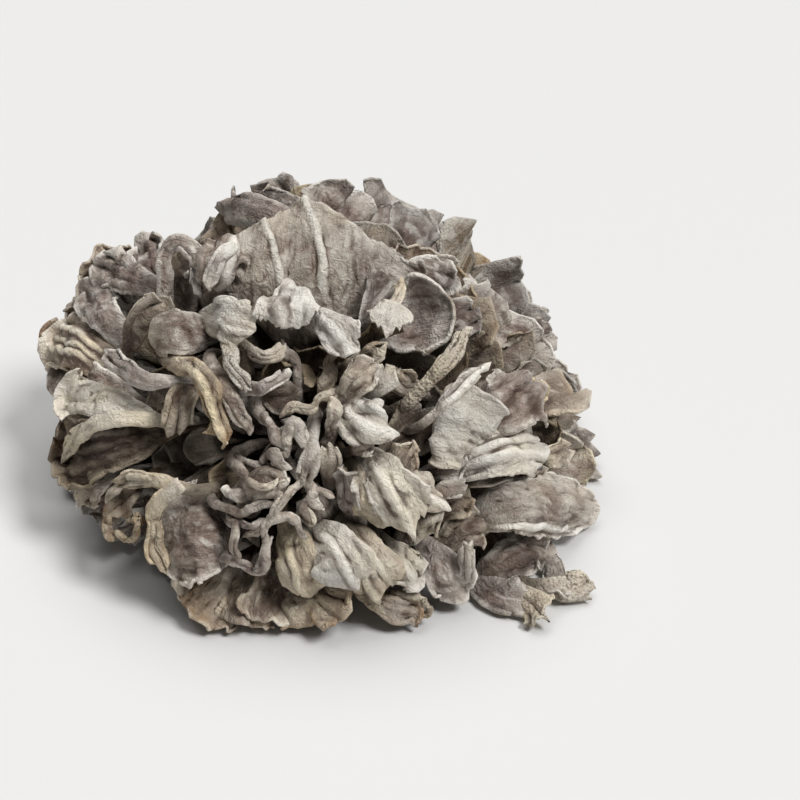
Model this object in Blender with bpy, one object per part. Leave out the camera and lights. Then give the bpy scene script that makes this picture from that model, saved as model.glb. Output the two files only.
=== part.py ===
"""Dried maitake cluster, one grown body: a cut base, a dense head and fan-shaped fronds.

Units are millimetres in the tables and metres in the meshes. +Z is up, the origin is the
middle of the flat cut under the base, and the crown of the rosette leans towards -Y.
"""

import math
from dataclasses import dataclass

import bmesh
import bpy
import numpy as np
from mathutils import Vector

MM = 0.001

# Driving dimensions of the whole cluster, in millimetres
DOME_RADII = (80.0, 74.0, 78.0)
BASE_RADIUS = 27.0
HEAD_SCALE = 0.74
HEAD_FLOOR = 9.0
BLADE_THICKNESS = 2.6
EDGE_THICKNESS = 1.3
STALK_SHARE = 0.34
LOWEST_FROND = 1.6
BASE_DEPTH = 3.0

# Grain at which the fronds are fused, in millimetres, and the triangles of the result
FUSE_GRAIN = 1.0
TRIANGLES = 8600

# The oblique view in which the rosette was laid out: a point is given by where it shows
# in the 800 x 800 picture and by its height over the dome that wraps the cluster
VIEW_ELEVATION = math.radians(37.0)
VIEW_DISTANCE = 550.0
VIEW_FOCAL = 1889.0
VIEW_CENTRE = 400.0
BASE_SHOWS_AT = (325.0, 455.0)


@dataclass(frozen=True)
class Frond:
    """A blade along a spine of (picture x, picture y, lift over the dome in mm)."""

    name: str
    spine: tuple
    width: float
    spread: float = 62.0
    cup: float = 0.0
    roll: float = 0.0


# Large blades of the crown, the side towards the viewer, clockwise from the top
CROWN = (
    Frond("canopy", ((321, 308, -7), (316, 250, 1), (307, 197, -4)), 58, 78, -3),
    Frond("slab", ((292, 222, -12), (252, 207, -5), (213, 207, -5)), 9, 40),
    Frond("left_tee", ((209, 282, -4), (216, 260, 1), (225, 232, 1)), 14, 80, -1),
    Frond("fold", ((352, 338, -7), (374, 300, -4), (396, 264, -3)), 12, 55),
    Frond("shell_behind", ((418, 332, -14), (442, 300, -9), (466, 284, -9)), 20, 70),
    Frond("bowl", ((384, 326, -10), (424, 320, -9), (457, 312, -1)), 21, 85, 4),
    Frond("pore_band", ((416, 394, -3), (443, 372, 1), (466, 326, -2)), 6, 35),
    Frond("sliver", ((437, 412, -1), (458, 392, 3), (484, 360, 2)), 6, 40, 0, 50),
    Frond("right_fan", ((482, 428, -7), (512, 404, -1), (543, 380, 0)), 18, 75),
    Frond("cream_panel", ((490, 446, -9), (464, 430, -7), (438, 414, -8)), 14, 60),
    Frond("white_tongue", ((456, 470, -5), (502, 452, 2), (547, 440, 0)), 9, 50, -1),
    Frond("side_lobe", ((536, 464, -6), (552, 456, -2), (566, 451, -3)), 6, 60),
    Frond("long_shell", ((468, 512, -5), (530, 506, 4), (594, 507, -1)), 18, 66, -2),
    Frond("tucked_leaf", ((478, 576, -4), (514, 558, 2), (547, 550, -1)), 12, 60, -2),
    Frond("blunt_petal", ((478, 580, -5), (500, 598, 0), (520, 608, -1)), 13, 70),
    Frond("mitten", ((424, 545, -6), (446, 574, 0), (461, 597, -1)), 14, 70),
    Frond("scrap_upper", ((556, 602, -8), (564, 574, -6), (561, 552, -7)), 7, 50),
    Frond("scrap_lower", ((566, 604, -10), (546, 612, -8), (538, 628, -8)), 9, 60),
    Frond("scrap_right", ((568, 622, -8), (588, 598, -6), (608, 579, -8)), 9, 55),
    Frond("white_fan", ((300, 530, -5), (330, 560, 3), (345, 598, 0)), 19, 72, -2),
    Frond("white_hem", ((308, 586, -5), (334, 598, -1), (346, 611, -2)), 17, 70),
    Frond("split_fan", ((346, 536, -5), (380, 560, 2), (402, 590, 0)), 16, 70),
    Frond("split_hem", ((364, 590, -4), (396, 604, -1), (426, 612, -1)), 8, 60),
    Frond("crumpled", ((350, 464, -4), (386, 492, 3), (426, 520, 2)), 14, 62, -2),
    Frond("point", ((350, 410, -3), (368, 430, 3), (393, 434, 2)), 13, 70, -1),
    Frond("plum_blade", ((228, 528, -7), (196, 528, 2), (160, 530, -1)), 28, 80, -3),
    Frond("ring_curl", ((138, 490, -5), (120, 506, 0), (113, 532, -1)), 11, 55, 4),
    Frond("ragged", ((232, 580, -5), (216, 604, -1), (203, 627, -3)), 15, 70),
    Frond("dark_hem", ((278, 566, -6), (268, 600, -2), (263, 630, -4)), 23, 75),
    Frond("left_stripes", ((108, 388, -6), (76, 356, 1), (51, 336, -3)), 17, 70),
    Frond("left_cream", ((138, 412, -4), (98, 401, 0), (66, 390, -2)), 9, 60),
    Frond("left_umber", ((152, 425, -6), (106, 445, 1), (66, 456, -3)), 21, 75, -2),
    Frond("left_roll", ((172, 383, -1), (136, 378, 4), (104, 350, 2)), 10, 40, -3),
    Frond("folded_strip", ((174, 362, -1), (204, 386, 4), (222, 450, 1)), 9, 45, -2),
    Frond("round_blade", ((206, 330, -5), (176, 330, 2), (149, 333, -1)), 14, 80, -2),
    Frond("rosy", ((124, 338, -5), (104, 312, 1), (90, 291, -1)), 13, 75),
    Frond("arch", ((124, 346, -4), (140, 314, 2), (176, 304, -1)), 9, 50),
    Frond("hood", ((178, 296, -5), (186, 264, 3), (176, 243, 1)), 12, 75, -3),
    Frond("tan", ((164, 288, -6), (130, 275, -1), (101, 262, -3)), 12, 70),
    Frond("dark_rear", ((134, 312, -18), (102, 280, -12), (78, 266, -13)), 26, 75),
    Frond("dark_low", ((114, 338, -16), (88, 318, -12), (64, 306, -13)), 14, 65),
    Frond("heart_cap", ((286, 298, -3), (288, 309, 4), (290, 325, 1)), 16, 80, -2),
    Frond("heart_left", ((204, 320, -1), (230, 316, 3), (255, 332, 1)), 10, 60, -2),
    Frond("heart_right", ((318, 314, -1), (336, 331, 4), (358, 346, 1)), 9, 60, -2),
    Frond("heart_leaf", ((338, 404, -3), (355, 382, 2), (374, 364, 1)), 8, 50),
)

# Stunted finger-like fronds in the heart of the rosette
FINGERS = (
    Frond("rim_c", ((228, 338, 0), (234, 368, 3), (250, 388, 3), (282, 372, -1)), 5, 30),
    Frond("lone_finger", ((213, 366, -1), (228, 395, 3), (253, 431, 1)), 5.5, 30),
    Frond("beige_finger", ((334, 396, -1), (310, 402, 2), (284, 416, 1)), 4.5, 30),
    Frond("low_worm", ((248, 540, 1), (272, 520, 3), (296, 486, 2)), 4.5, 30),
    Frond("loop_worm", ((258, 560, 0), (276, 524, 4), (300, 536, 1)), 4.5, 30),
    Frond("cross_worm", ((219, 503, 1), (246, 507, 3), (284, 490, 0)), 4.5, 30),
    Frond("top_worm", ((252, 462, 0), (272, 457, 3), (291, 462, 0)), 4.5, 30),
    Frond("knob", ((310, 480, -1), (312, 456, 3), (306, 442, 2)), 5, 30),
    Frond("inner_worm", ((262, 419, 0), (274, 438, 2), (286, 455, 0)), 5, 30),
    Frond("stem", ((328, 384, -4), (330, 412, 1), (328, 442, -1)), 4.5, 30),
)

# Blades over the sides and the back, spread evenly in a spiral: how many places the spiral
# has over the whole dome, and the angle from the crown's middle where they begin
SPIRAL_PLACES = 118
SPIRAL_TURN = math.radians(137.508)
SPIRAL_FROM = math.radians(57.0)
SPIRAL_WIDTHS = (19.0, 31.0)
SPIRAL_LENGTHS = (17.0, 25.0)

# Blades low round the foot, which close the side that faces the floor: number, radius
# from the middle to their heels, width, length
FOOT = (17, 43.0, 24.0, 26.0)
SEED = 41


def unit(vector):
    """The vector at length one."""
    return vector / np.linalg.norm(vector)


TOWARDS_VIEWER = np.array([0.0, -math.cos(VIEW_ELEVATION), math.sin(VIEW_ELEVATION)])
VIEW_UP = np.array([0.0, math.sin(VIEW_ELEVATION), math.cos(VIEW_ELEVATION)])
VIEW_RIGHT = np.array([1.0, 0.0, 0.0])


def viewpoint():
    """Where the eye stands, so that the base's middle shows at BASE_SHOWS_AT."""
    per_mm = VIEW_FOCAL / VIEW_DISTANCE
    aside = (VIEW_CENTRE - BASE_SHOWS_AT[0]) / per_mm
    above = (BASE_SHOWS_AT[1] - VIEW_CENTRE) / per_mm
    return aside * VIEW_RIGHT + above * VIEW_UP + VIEW_DISTANCE * TOWARDS_VIEWER


def on_dome(x, y, lift):
    """The point seen at (x, y) on the dome grown by lift, or where the ray passes nearest."""
    eye = viewpoint()
    ray = (
        -TOWARDS_VIEWER
        + (x - VIEW_CENTRE) / VIEW_FOCAL * VIEW_RIGHT
        + (VIEW_CENTRE - y) / VIEW_FOCAL * VIEW_UP
    )
    radii = np.array(DOME_RADII) + lift
    start, step = eye / radii, ray / radii
    a, b, c = step @ step, 2 * start @ step, start @ start - 1
    inside = max(0.0, b * b - 4 * a * c)
    point = eye + ray * (-b - math.sqrt(inside)) / (2 * a)
    point[2] = max(point[2], LOWEST_FROND + 1.5)
    return point


def smooth_line(points, samples):
    """A Catmull-Rom curve through the points, evenly sampled by length."""
    points = np.array(points, float)
    ends = np.vstack([2 * points[0] - points[1], points, 2 * points[-1] - points[-2]])
    dense = []
    for i in range(len(points) - 1):
        p0, p1, p2, p3 = ends[i : i + 4]
        t = np.linspace(0, 1, 24, endpoint=False)[:, None]
        dense.append(
            0.5
            * (
                2 * p1
                + (p2 - p0) * t
                + (2 * p0 - 5 * p1 + 4 * p2 - p3) * t**2
                + (3 * p1 - p0 - 3 * p2 + p3) * t**3
            )
        )
    dense = np.vstack([*dense, points[-1:]])
    along = np.concatenate([[0], np.cumsum(np.linalg.norm(np.diff(dense, axis=0), axis=1))])
    at = np.linspace(0, along[-1], samples)
    return np.stack([np.interp(at, along, dense[:, k]) for k in range(3)], axis=1)


def stalk_line(heel, forward, samples):
    """A curve from inside the head to the blade's heel, where it runs along forward."""
    middle = np.array([0.0, 0.0, 20.0])
    anchor = middle + (heel - middle) * (HEAD_SCALE * 0.62)
    reach = 0.4 * np.linalg.norm(heel - anchor)
    t = np.linspace(0, 1, samples, endpoint=False)[:, None]
    first = anchor + unit(heel - middle) * reach
    second = heel - forward * reach
    return (
        (1 - t) ** 3 * anchor
        + 3 * (1 - t) ** 2 * t * first
        + 3 * (1 - t) * t**2 * second
        + t**3 * heel
    )


def plate(name, line, facing, width, spread, cup):
    """One closed plate: two sheets of points a thickness apart, joined round their border.

    Rows follow the line: two of stalk, then the blade, whose rim is an arc of the spread
    half-angle. The sheet bends out of its plane by cup at its side edges.
    """
    stalk_rows, blade_rows, columns = 2, 4, 5
    forward = unit(line[1] - line[0])
    stalk = stalk_line(line[0], forward, 8)
    path = np.vstack([stalk, line])
    along = np.concatenate([[0], np.cumsum(np.linalg.norm(np.diff(path, axis=0), axis=1))])
    heel_at = along[len(stalk)]
    along = along - heel_at
    length = along[-1]
    tangent = np.gradient(path, axis=0)
    tangent /= np.linalg.norm(tangent, axis=1)[:, None]
    across = np.cross(tangent, facing)
    across /= np.linalg.norm(across, axis=1)[:, None]
    across = np.where((across @ across[-1])[:, None] < 0, -across, across)
    outward = np.cross(across, tangent)
    angles = np.linspace(-1, 1, columns) * math.radians(spread)
    sides = np.sin(angles) / math.sin(math.radians(min(spread, 90.0)))
    rows = np.concatenate(
        [-np.linspace(1, 0, stalk_rows, endpoint=False), np.linspace(0, 1, blade_rows)]
    )
    top, bottom = [], []
    for row in rows:
        if row < 0:
            reach = np.full(columns, row * heel_at)
            half = np.full(columns, 0.5 * width * STALK_SHARE)
        else:
            reach = row * length * np.cos(angles) ** 0.8
            half = np.full(columns, 0.5 * width * (STALK_SHARE + (1 - STALK_SHARE) * row**0.75))
        rim = np.maximum(np.abs(sides), row)
        thick = 0.5 * (BLADE_THICKNESS + (EDGE_THICKNESS - BLADE_THICKNESS) * rim**2)
        for k in range(columns):
            spot = [np.interp(reach[k], along, path[:, i]) for i in range(3)]
            side = unit(np.array([np.interp(reach[k], along, across[:, i]) for i in range(3)]))
            out = unit(np.array([np.interp(reach[k], along, outward[:, i]) for i in range(3)]))
            point = np.array(spot) + sides[k] * half[k] * side
            point = point + out * cup * sides[k] ** 2 * max(row, 0)
            point[2] = max(point[2], LOWEST_FROND + thick[k])
            top.append(point + out * thick[k])
            bottom.append(point - out * thick[k])
    return closed_sheets(name, np.array(top), np.array(bottom), len(rows), columns)


def closed_sheets(name, top, bottom, rows, columns):
    """A mesh object from two grids of points, with a wall round their common border."""
    mesh = bmesh.new()
    low_edge = LOWEST_FROND
    over = [mesh.verts.new(Vector((x, y, max(z, low_edge))) * MM) for x, y, z in top]
    under = [mesh.verts.new(Vector((x, y, max(z, low_edge - 0.6))) * MM) for x, y, z in bottom]
    for r in range(rows - 1):
        for c in range(columns - 1):
            a, b = r * columns + c, r * columns + c + 1
            d, e = a + columns, b + columns
            mesh.faces.new((over[a], over[b], over[e], over[d]))
            mesh.faces.new((under[d], under[e], under[b], under[a]))
    border = [c for c in range(columns)]
    border += [r * columns + columns - 1 for r in range(1, rows)]
    border += [(rows - 1) * columns + c for c in range(columns - 2, -1, -1)]
    border += [r * columns for r in range(rows - 2, 0, -1)]
    for i, j in zip(border, border[1:] + border[:1]):
        mesh.faces.new((over[j], over[i], under[i], under[j]))
    bmesh.ops.recalc_face_normals(mesh, faces=mesh.faces)
    return object_of(name, mesh)


def object_of(name, mesh):
    """Puts a bmesh into a new object in the scene."""
    data = bpy.data.meshes.new(name)
    mesh.to_mesh(data)
    mesh.free()
    made = bpy.data.objects.new(name, data)
    bpy.context.scene.collection.objects.link(made)
    return made


def crown_plate(frond):
    """A crown frond, its cap turned to the viewer and rolled about its own length."""
    line = smooth_line([on_dome(*place) for place in frond.spine], 12)
    forward = unit(line[-1] - line[0])
    level = unit(TOWARDS_VIEWER - (TOWARDS_VIEWER @ forward) * forward)
    angle = math.radians(frond.roll)
    facing = level * math.cos(angle) + np.cross(forward, level) * math.sin(angle)
    return plate(frond.name, line, facing, frond.width, frond.spread, frond.cup)


def spiral_plates(chance):
    """Blades that point outwards and away from the crown's middle, caps outwards."""
    made = []
    for k in range(SPIRAL_PLACES):
        height = (k + 0.5) / SPIRAL_PLACES
        turn = k * SPIRAL_TURN
        level = math.sqrt(1 - height * height)
        place = np.array([level * math.sin(turn), -level * math.cos(turn), height])
        if place @ TOWARDS_VIEWER > math.cos(SPIRAL_FROM):
            continue
        normal = unit(place / np.array(DOME_RADII))
        away = unit(normal * (normal @ TOWARDS_VIEWER) - TOWARDS_VIEWER)
        side = np.cross(normal, away)
        swing = chance.uniform(-0.35, 0.35)
        forward = 0.62 * normal + 0.55 * away + swing * side
        forward[2] = max(forward[2], 0.12 - 0.5 * height)
        forward = unit(forward)
        length = chance.uniform(*SPIRAL_LENGTHS)
        tip = np.array(DOME_RADII) * place * chance.uniform(0.93, 1.0)
        heel = tip - forward * length
        line = smooth_line([heel, (heel + tip) / 2 + normal * 1.2, tip], 12)
        facing = unit(normal - 0.9 * away + chance.uniform(-0.3, 0.3) * side)
        width = chance.uniform(*SPIRAL_WIDTHS)
        cup = chance.uniform(-4.0, 1.5)
        made.append(plate(f"spiral_{k}", line, facing, width, 72.0, cup))
    return made


def foot_plates(chance):
    """A ring of blades just over the floor, caps up."""
    count, radius, width, length = FOOT
    made = []
    for k in range(count):
        turn = 2 * math.pi * (k + chance.uniform(-0.2, 0.2)) / count
        outward = np.array([math.sin(turn), -math.cos(turn), 0.0])
        heel = outward * radius + np.array([0, 0, 12.0])
        reach = length * chance.uniform(0.8, 1.12)
        tip = heel + outward * reach + np.array([0, 0, chance.uniform(-9.0, -2.0)])
        line = smooth_line([heel, (heel + tip) / 2 + np.array([0, 0, 2.0]), tip], 12)
        facing = np.array([0.0, 0.0, 1.0]) + 0.3 * outward
        size = width * chance.uniform(0.8, 1.15)
        made.append(plate(f"foot_{k}", line, facing, size, 70.0, -2.5))
    return made


def head_and_base():
    """The dense head on its cut base: rings of a turned profile, swollen into lumps."""
    segments = 20
    rx, ry, rz = (r * HEAD_SCALE for r in DOME_RADII)
    rings = [(BASE_RADIUS / rx, -BASE_DEPTH), (BASE_RADIUS / rx * 0.96, HEAD_FLOOR * 0.6)]
    for angle in np.radians([-12, 8, 28, 48, 68, 82]):
        rings.append((math.cos(angle), HEAD_FLOOR + rz * 0.2 + rz * 0.86 * math.sin(angle)))
    mesh = bmesh.new()
    loops = []
    for share, height in rings:
        loop = []
        for k in range(segments):
            turn = 2 * math.pi * k / segments
            lump = 1 + 0.05 * math.sin(3 * turn + 0.09 * height) * math.sin(5 * turn)
            x, y = rx * share * lump * math.cos(turn), ry * share * lump * math.sin(turn)
            loop.append(mesh.verts.new(Vector((x, y, height)) * MM))
        loops.append(loop)
    for low, high in zip(loops, loops[1:]):
        for k in range(segments):
            n = (k + 1) % segments
            mesh.faces.new((low[k], low[n], high[n], high[k]))
    mesh.faces.new(loops[0][::-1])
    mesh.faces.new(loops[-1])
    bmesh.ops.recalc_face_normals(mesh, faces=mesh.faces)
    return object_of("maitake_cluster", mesh)


def flesh():
    """The dry grey-brown flesh."""
    material = bpy.data.materials.new("dried_flesh")
    material.use_nodes = True
    shader = material.node_tree.nodes["Principled BSDF"]
    shader.inputs["Base Color"].default_value = (0.30, 0.25, 0.21, 1)
    shader.inputs["Roughness"].default_value = 0.85
    shader.inputs["Metallic"].default_value = 0.0
    return material


def grow_together(body, plates):
    """Fuses the plates with the body into one skin, and thins its triangles out."""
    mesh = bmesh.new()
    for piece in [body, *plates]:
        mesh.from_mesh(piece.data)
    mesh.to_mesh(body.data)
    mesh.free()
    for piece in plates:
        bpy.data.objects.remove(piece)
    fuse = body.modifiers.new("fuse", "REMESH")
    fuse.mode = "VOXEL"
    fuse.voxel_size = FUSE_GRAIN * MM
    settled(body)
    outer_skin(body)
    thin_out = body.modifiers.new("thin_out", "DECIMATE")
    thin_out.ratio = TRIANGLES / sum(len(face.vertices) - 2 for face in body.data.polygons)
    settled(body)


def settled(body):
    """Applies the body's modifiers to its mesh."""
    graph = bpy.context.evaluated_depsgraph_get()
    result = bpy.data.meshes.new_from_object(body.evaluated_get(graph))
    body.modifiers.clear()
    body.data = result


def outer_skin(body):
    """Drops every closed sheet but the outer skin, so that no pocket is left sealed inside."""
    mesh = bmesh.new()
    mesh.from_mesh(body.data)
    unseen = set(mesh.verts)
    skins = []
    for start in list(mesh.verts):
        if start not in unseen:
            continue
        unseen.remove(start)
        skin, front = [start], [start]
        while front:
            corner = front.pop()
            for edge in corner.link_edges:
                other = edge.other_vert(corner)
                if other in unseen:
                    unseen.remove(other)
                    skin.append(other)
                    front.append(other)
        skins.append(skin)
    skins.sort(key=len)
    inner = [corner for skin in skins[:-1] for corner in skin]
    bmesh.ops.delete(mesh, geom=inner, context="VERTS")
    mesh.to_mesh(body.data)
    mesh.free()


def cut_base(body):
    """The flat cut under the base, where the cluster was parted from the wood."""
    mesh = bmesh.new()
    bmesh.ops.create_cube(mesh, size=1.0)
    bmesh.ops.scale(mesh, vec=Vector((0.3, 0.3, 0.05)), verts=mesh.verts)
    bmesh.ops.translate(mesh, vec=Vector((0, 0, -0.025)), verts=mesh.verts)
    knife = object_of("knife", mesh)
    knife.hide_render = True
    knife.display_type = "WIRE"
    cut = body.modifiers.new("cut_base", "BOOLEAN")
    cut.operation = "DIFFERENCE"
    cut.object = knife
    cut.solver = "EXACT"


def build():
    """Models the whole cluster in an empty scene."""
    for old in list(bpy.data.objects):
        bpy.data.objects.remove(old)
    body = head_and_base()
    plates = [crown_plate(frond) for frond in CROWN + FINGERS]
    chance = np.random.default_rng(SEED)
    plates += spiral_plates(chance)
    plates += foot_plates(chance)
    grow_together(body, plates)
    cut_base(body)
    body.data.materials.append(flesh())


build()
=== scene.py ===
"""A dried maitake cluster: fan-shaped fronds round a curled heart, on a plain pale floor.

The cluster is laid out in the picture's own oblique view. A frond's spine is a list of
places, each given by where it shows in the 800 x 800 picture and by how far it stands over
a dome that wraps the cluster. Every frond is one closed sheet computed as whole numpy
arrays, from its outline, its folds, its crumpling and its rolled rim.
"""

import logging
import math
from collections.abc import Sequence
from dataclasses import dataclass, replace
from enum import Enum

import bpy
import numpy as np
from mathutils import Matrix


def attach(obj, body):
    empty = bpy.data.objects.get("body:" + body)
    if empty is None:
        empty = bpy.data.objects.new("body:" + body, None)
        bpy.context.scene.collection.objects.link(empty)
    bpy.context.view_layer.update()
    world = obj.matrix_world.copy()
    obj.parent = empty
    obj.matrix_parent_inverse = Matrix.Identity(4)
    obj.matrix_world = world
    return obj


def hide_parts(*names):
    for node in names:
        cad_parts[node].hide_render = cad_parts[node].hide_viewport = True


log = logging.getLogger("maitake")
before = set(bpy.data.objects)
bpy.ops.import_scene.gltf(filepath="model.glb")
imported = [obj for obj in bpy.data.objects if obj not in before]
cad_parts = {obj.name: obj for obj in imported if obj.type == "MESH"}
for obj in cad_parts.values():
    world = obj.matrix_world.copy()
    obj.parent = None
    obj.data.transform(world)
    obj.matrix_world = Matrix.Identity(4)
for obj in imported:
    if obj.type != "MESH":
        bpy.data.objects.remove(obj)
MM = 0.001
UP = np.array([0.0, 0.0, 1.0])
# The dome that wraps the cluster: half-width, half-depth and height, in mm.
DOME_RADII = np.array([80.0, 74.0, 78.0])
# Where the stalks meet in the head, in mm.
CORE = np.array([0.0, 0.0, 20.0])
# How near the floor a sheet may come, and how far over that a picture ray stops, in mm.
FLOOR_GAP = 1.6
RAY_STOP = 2.0
# Degrees from one direction to the next in an even spiral, and points to a span of a curve.
GOLDEN_TURN = 137.508
SPAN_STEPS = 24
# The least bend in radians per mm, so that nothing divides by 0.
LEAST_BEND = 1e-4
Place = tuple[float, float, float]
Pair = tuple[float, float]
Pleat = tuple[float, float, float, float]
Colour = tuple[float, float, float, float]


def unit(vectors: np.ndarray) -> np.ndarray:
    """Vectors at length one, along the last axis."""
    return vectors / np.maximum(np.linalg.norm(vectors, axis=-1, keepdims=True), 1e-9)


def dot(a: np.ndarray, b: np.ndarray) -> np.ndarray:
    """Dot product along the last axis, which is kept."""
    return (a * b).sum(axis=-1, keepdims=True)


def ease(x: np.ndarray) -> np.ndarray:
    """0 below 0, 1 above 1, and a smooth step between."""
    x = np.clip(x, 0.0, 1.0)
    return x * x * (3.0 - 2.0 * x)


@dataclass(frozen=True)
class View:
    """The picture's view of the cluster, from the front and above.

    Args:
        elevation: degrees over the horizon.
        distance: from the cluster to the eye, in mm.
        focal: focal length in picture pixels.
        centre: the picture's middle, across and down, in picture pixels.
        base_at: where the middle of the cut base shows, in picture pixels.
    """

    elevation: float = 37.0
    distance: float = 550.0
    focal: float = 1889.0
    centre: float = 400.0
    base_at: Pair = (325.0, 455.0)

    @property
    def towards(self) -> np.ndarray:
        """Unit vector from the cluster to the eye."""
        angle = math.radians(self.elevation)
        return np.array([0.0, -math.cos(angle), math.sin(angle)])

    @property
    def up(self) -> np.ndarray:
        """Unit vector that points up in the picture."""
        angle = math.radians(self.elevation)
        return np.array([0.0, math.sin(angle), math.cos(angle)])

    @property
    def right(self) -> np.ndarray:
        """Unit vector that points right in the picture."""
        return np.array([1.0, 0.0, 0.0])

    @property
    def eye(self) -> np.ndarray:
        """Where the eye stands, in mm."""
        per_mm = self.focal / self.distance
        aside = (self.centre - self.base_at[0]) / per_mm
        above = (self.base_at[1] - self.centre) / per_mm
        return aside * self.right + above * self.up + self.distance * self.towards

    def on_dome(self, place: Place) -> np.ndarray:
        """The point seen at a place, on the dome grown by the place's lift.

        The ray start + t * step meets the ellipsoid where the sum of the squares of its
        coordinates over the radii is 1. A ray that misses gives its nearest point, and one
        that goes under the floor stops just over it.

        Args:
            place: picture x, picture y and lift in mm.

        Returns:
            The point in mm.
        """
        x, y, lift = place
        ray = (
            -self.towards
            + (x - self.centre) / self.focal * self.right
            + (self.centre - y) / self.focal * self.up
        )
        start, step = self.eye / (DOME_RADII + lift), ray / (DOME_RADII + lift)
        a, b, c = step @ step, 2 * start @ step, start @ start - 1
        t = (-b - math.sqrt(max(0.0, b * b - 4 * a * c))) / (2 * a)
        to_floor = (FLOOR_GAP + RAY_STOP - self.eye[2]) / ray[2]
        return self.eye + ray * min(t, to_floor)


VIEW = View()


class GradientNoise:
    """Smooth noise from -1 to 1 over points in space, the same for the same seed."""

    SIZE = 256
    GAIN = 1.7

    def __init__(self, seed: int) -> None:
        """Draws the lattice's directions.

        Args:
            seed: picks the pattern.
        """
        chance = np.random.default_rng(seed)
        self.table = chance.permutation(self.SIZE)
        self.slopes = unit(chance.normal(size=(self.SIZE, 3)))

    def at(self, points: np.ndarray, grain: float) -> np.ndarray:
        """Noise at the points: each lattice corner's slope, blended by a quintic fade.

        Args:
            points: array whose last axis holds x, y and z in mm.
            grain: size of the lattice's cells in mm.

        Returns:
            One value for each point.
        """
        spot = points / grain
        cell = np.floor(spot).astype(int)
        part = spot - cell
        fade = part**3 * (part * (part * 6 - 15) + 10)
        total = np.zeros(points.shape[:-1])
        for corner in np.ndindex(2, 2, 2):
            at = (cell + corner) % self.SIZE
            pick = self.table[at[..., 0]]
            pick = self.table[(pick + at[..., 1]) % self.SIZE]
            pick = self.table[(pick + at[..., 2]) % self.SIZE]
            slope = (self.slopes[pick] * (part - corner)).sum(axis=-1)
            weight = np.where(np.array(corner) == 1, fade, 1 - fade).prod(axis=-1)
            total += weight * slope
        return np.clip(total * self.GAIN, -1.0, 1.0)


NOISE = GradientNoise(7)


class Tone(Enum):
    """A frond's colouring: how dark its cap is, how cream, how rusty its rim, how warm.

    Each share runs from 0 to 1; a cream over 1 leaves less of the cap between its patches.
    """

    TAUPE = (0.25, 0.05, 0.15, 0.4)
    PALE_TAUPE = (0.0, 0.4, 0.15, 0.5)
    FAWN = (0.0, 0.05, 0.1, 0.3)
    LILAC = (0.2, 0.25, 0.1, 0.1)
    PLUM = (0.65, 0.0, 0.05, 0.0)
    UMBER = (0.95, 0.0, 0.35, 0.6)
    OLIVE = (0.35, 0.2, 0.35, 0.65)
    CREAM = (0.05, 0.7, 0.3, 0.75)
    HONEY = (0.2, 0.5, 0.75, 0.65)
    WHITE = (0.05, 0.85, 0.08, 0.35)
    CHALK = (0.0, 1.1, 0.1, 0.5)
    RUSTED = (0.35, 0.3, 0.85, 0.7)


@dataclass(frozen=True)
class Frond:
    """One frond: a sheet along a spine, from a stalk in the head to its rim.

    Args:
        name: what it is called; its seed is worked out from it.
        spine: places from heel to tip, or points in mm when world is set.
        width: greatest width in mm.
        spread: half of the angle that the rim's arc spans, in degrees.
        heel: width at the heel, as a share of the greatest.
        fill: exponent by which the width opens; lower opens sooner.
        corner: how far the rim's ends hang back, as a share of the length.
        wrap: degrees the width is bent through at heel and tip; over 0 folds towards
            the cap side, below 0 makes a hood.
        roll: degrees the sheet is turned about its spine at heel and tip.
        ruffle: height in mm and number of the waves along the rim.
        curl: share of the length where the rim starts to roll, and degrees; over 0
            rolls over the cap.
        side_curl: the same roll for the side edges, in degrees.
        lobes: depth in mm and number of the lobes of the rim.
        pleats: ridges from heel to rim: across-position at the heel and at the rim,
            height in mm, half-width in mm.
        crumple: multiple of the usual crumpling.
        rim_mm: thickness at the rim.
        root_mm: thickness at the heel.
        tone: its colouring.
        porous: share of the spongy texture on its cap.
        facing: the way the cap looks before the roll; towards the eye when left out.
        depth: how deep in the cluster it sits, 0 to 1; it sets how much painted shade darkens its colour.
        world: the spine is in mm and not in picture places.
        cell: size of the mesh's cells in mm.
        stalk: whether a stalk runs on from the heel into the head.
        point: 0 for a round rim to 1 for one that comes to a point.
        kink: how far the spine wanders, in mm.
        knobby: multiple of the usual change of width along it.
        seed: picks its folds and blotches; when 0 it comes from the name.
    """

    name: str
    spine: tuple[Place, ...]
    width: float
    spread: float = 66.0
    heel: float = 0.36
    fill: float = 0.75
    corner: float = 0.5
    wrap: Pair = (0.0, 0.0)
    roll: Pair = (0.0, 0.0)
    ruffle: Pair = (1.5, 3.0)
    curl: Pair = (0.84, 60.0)
    side_curl: float = 25.0
    lobes: Pair = (1.2, 3.0)
    pleats: tuple[Pleat, ...] = ()
    crumple: float = 1.0
    rim_mm: float = 0.85
    root_mm: float = 1.9
    tone: Tone = Tone.TAUPE
    porous: float = 0.0
    facing: Place | None = None
    depth: float = 0.0
    world: bool = False
    cell: float = 0.72
    stalk: bool = True
    point: float = 0.25
    kink: float = 0.5
    knobby: float = 1.0
    seed: int = 0


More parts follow.
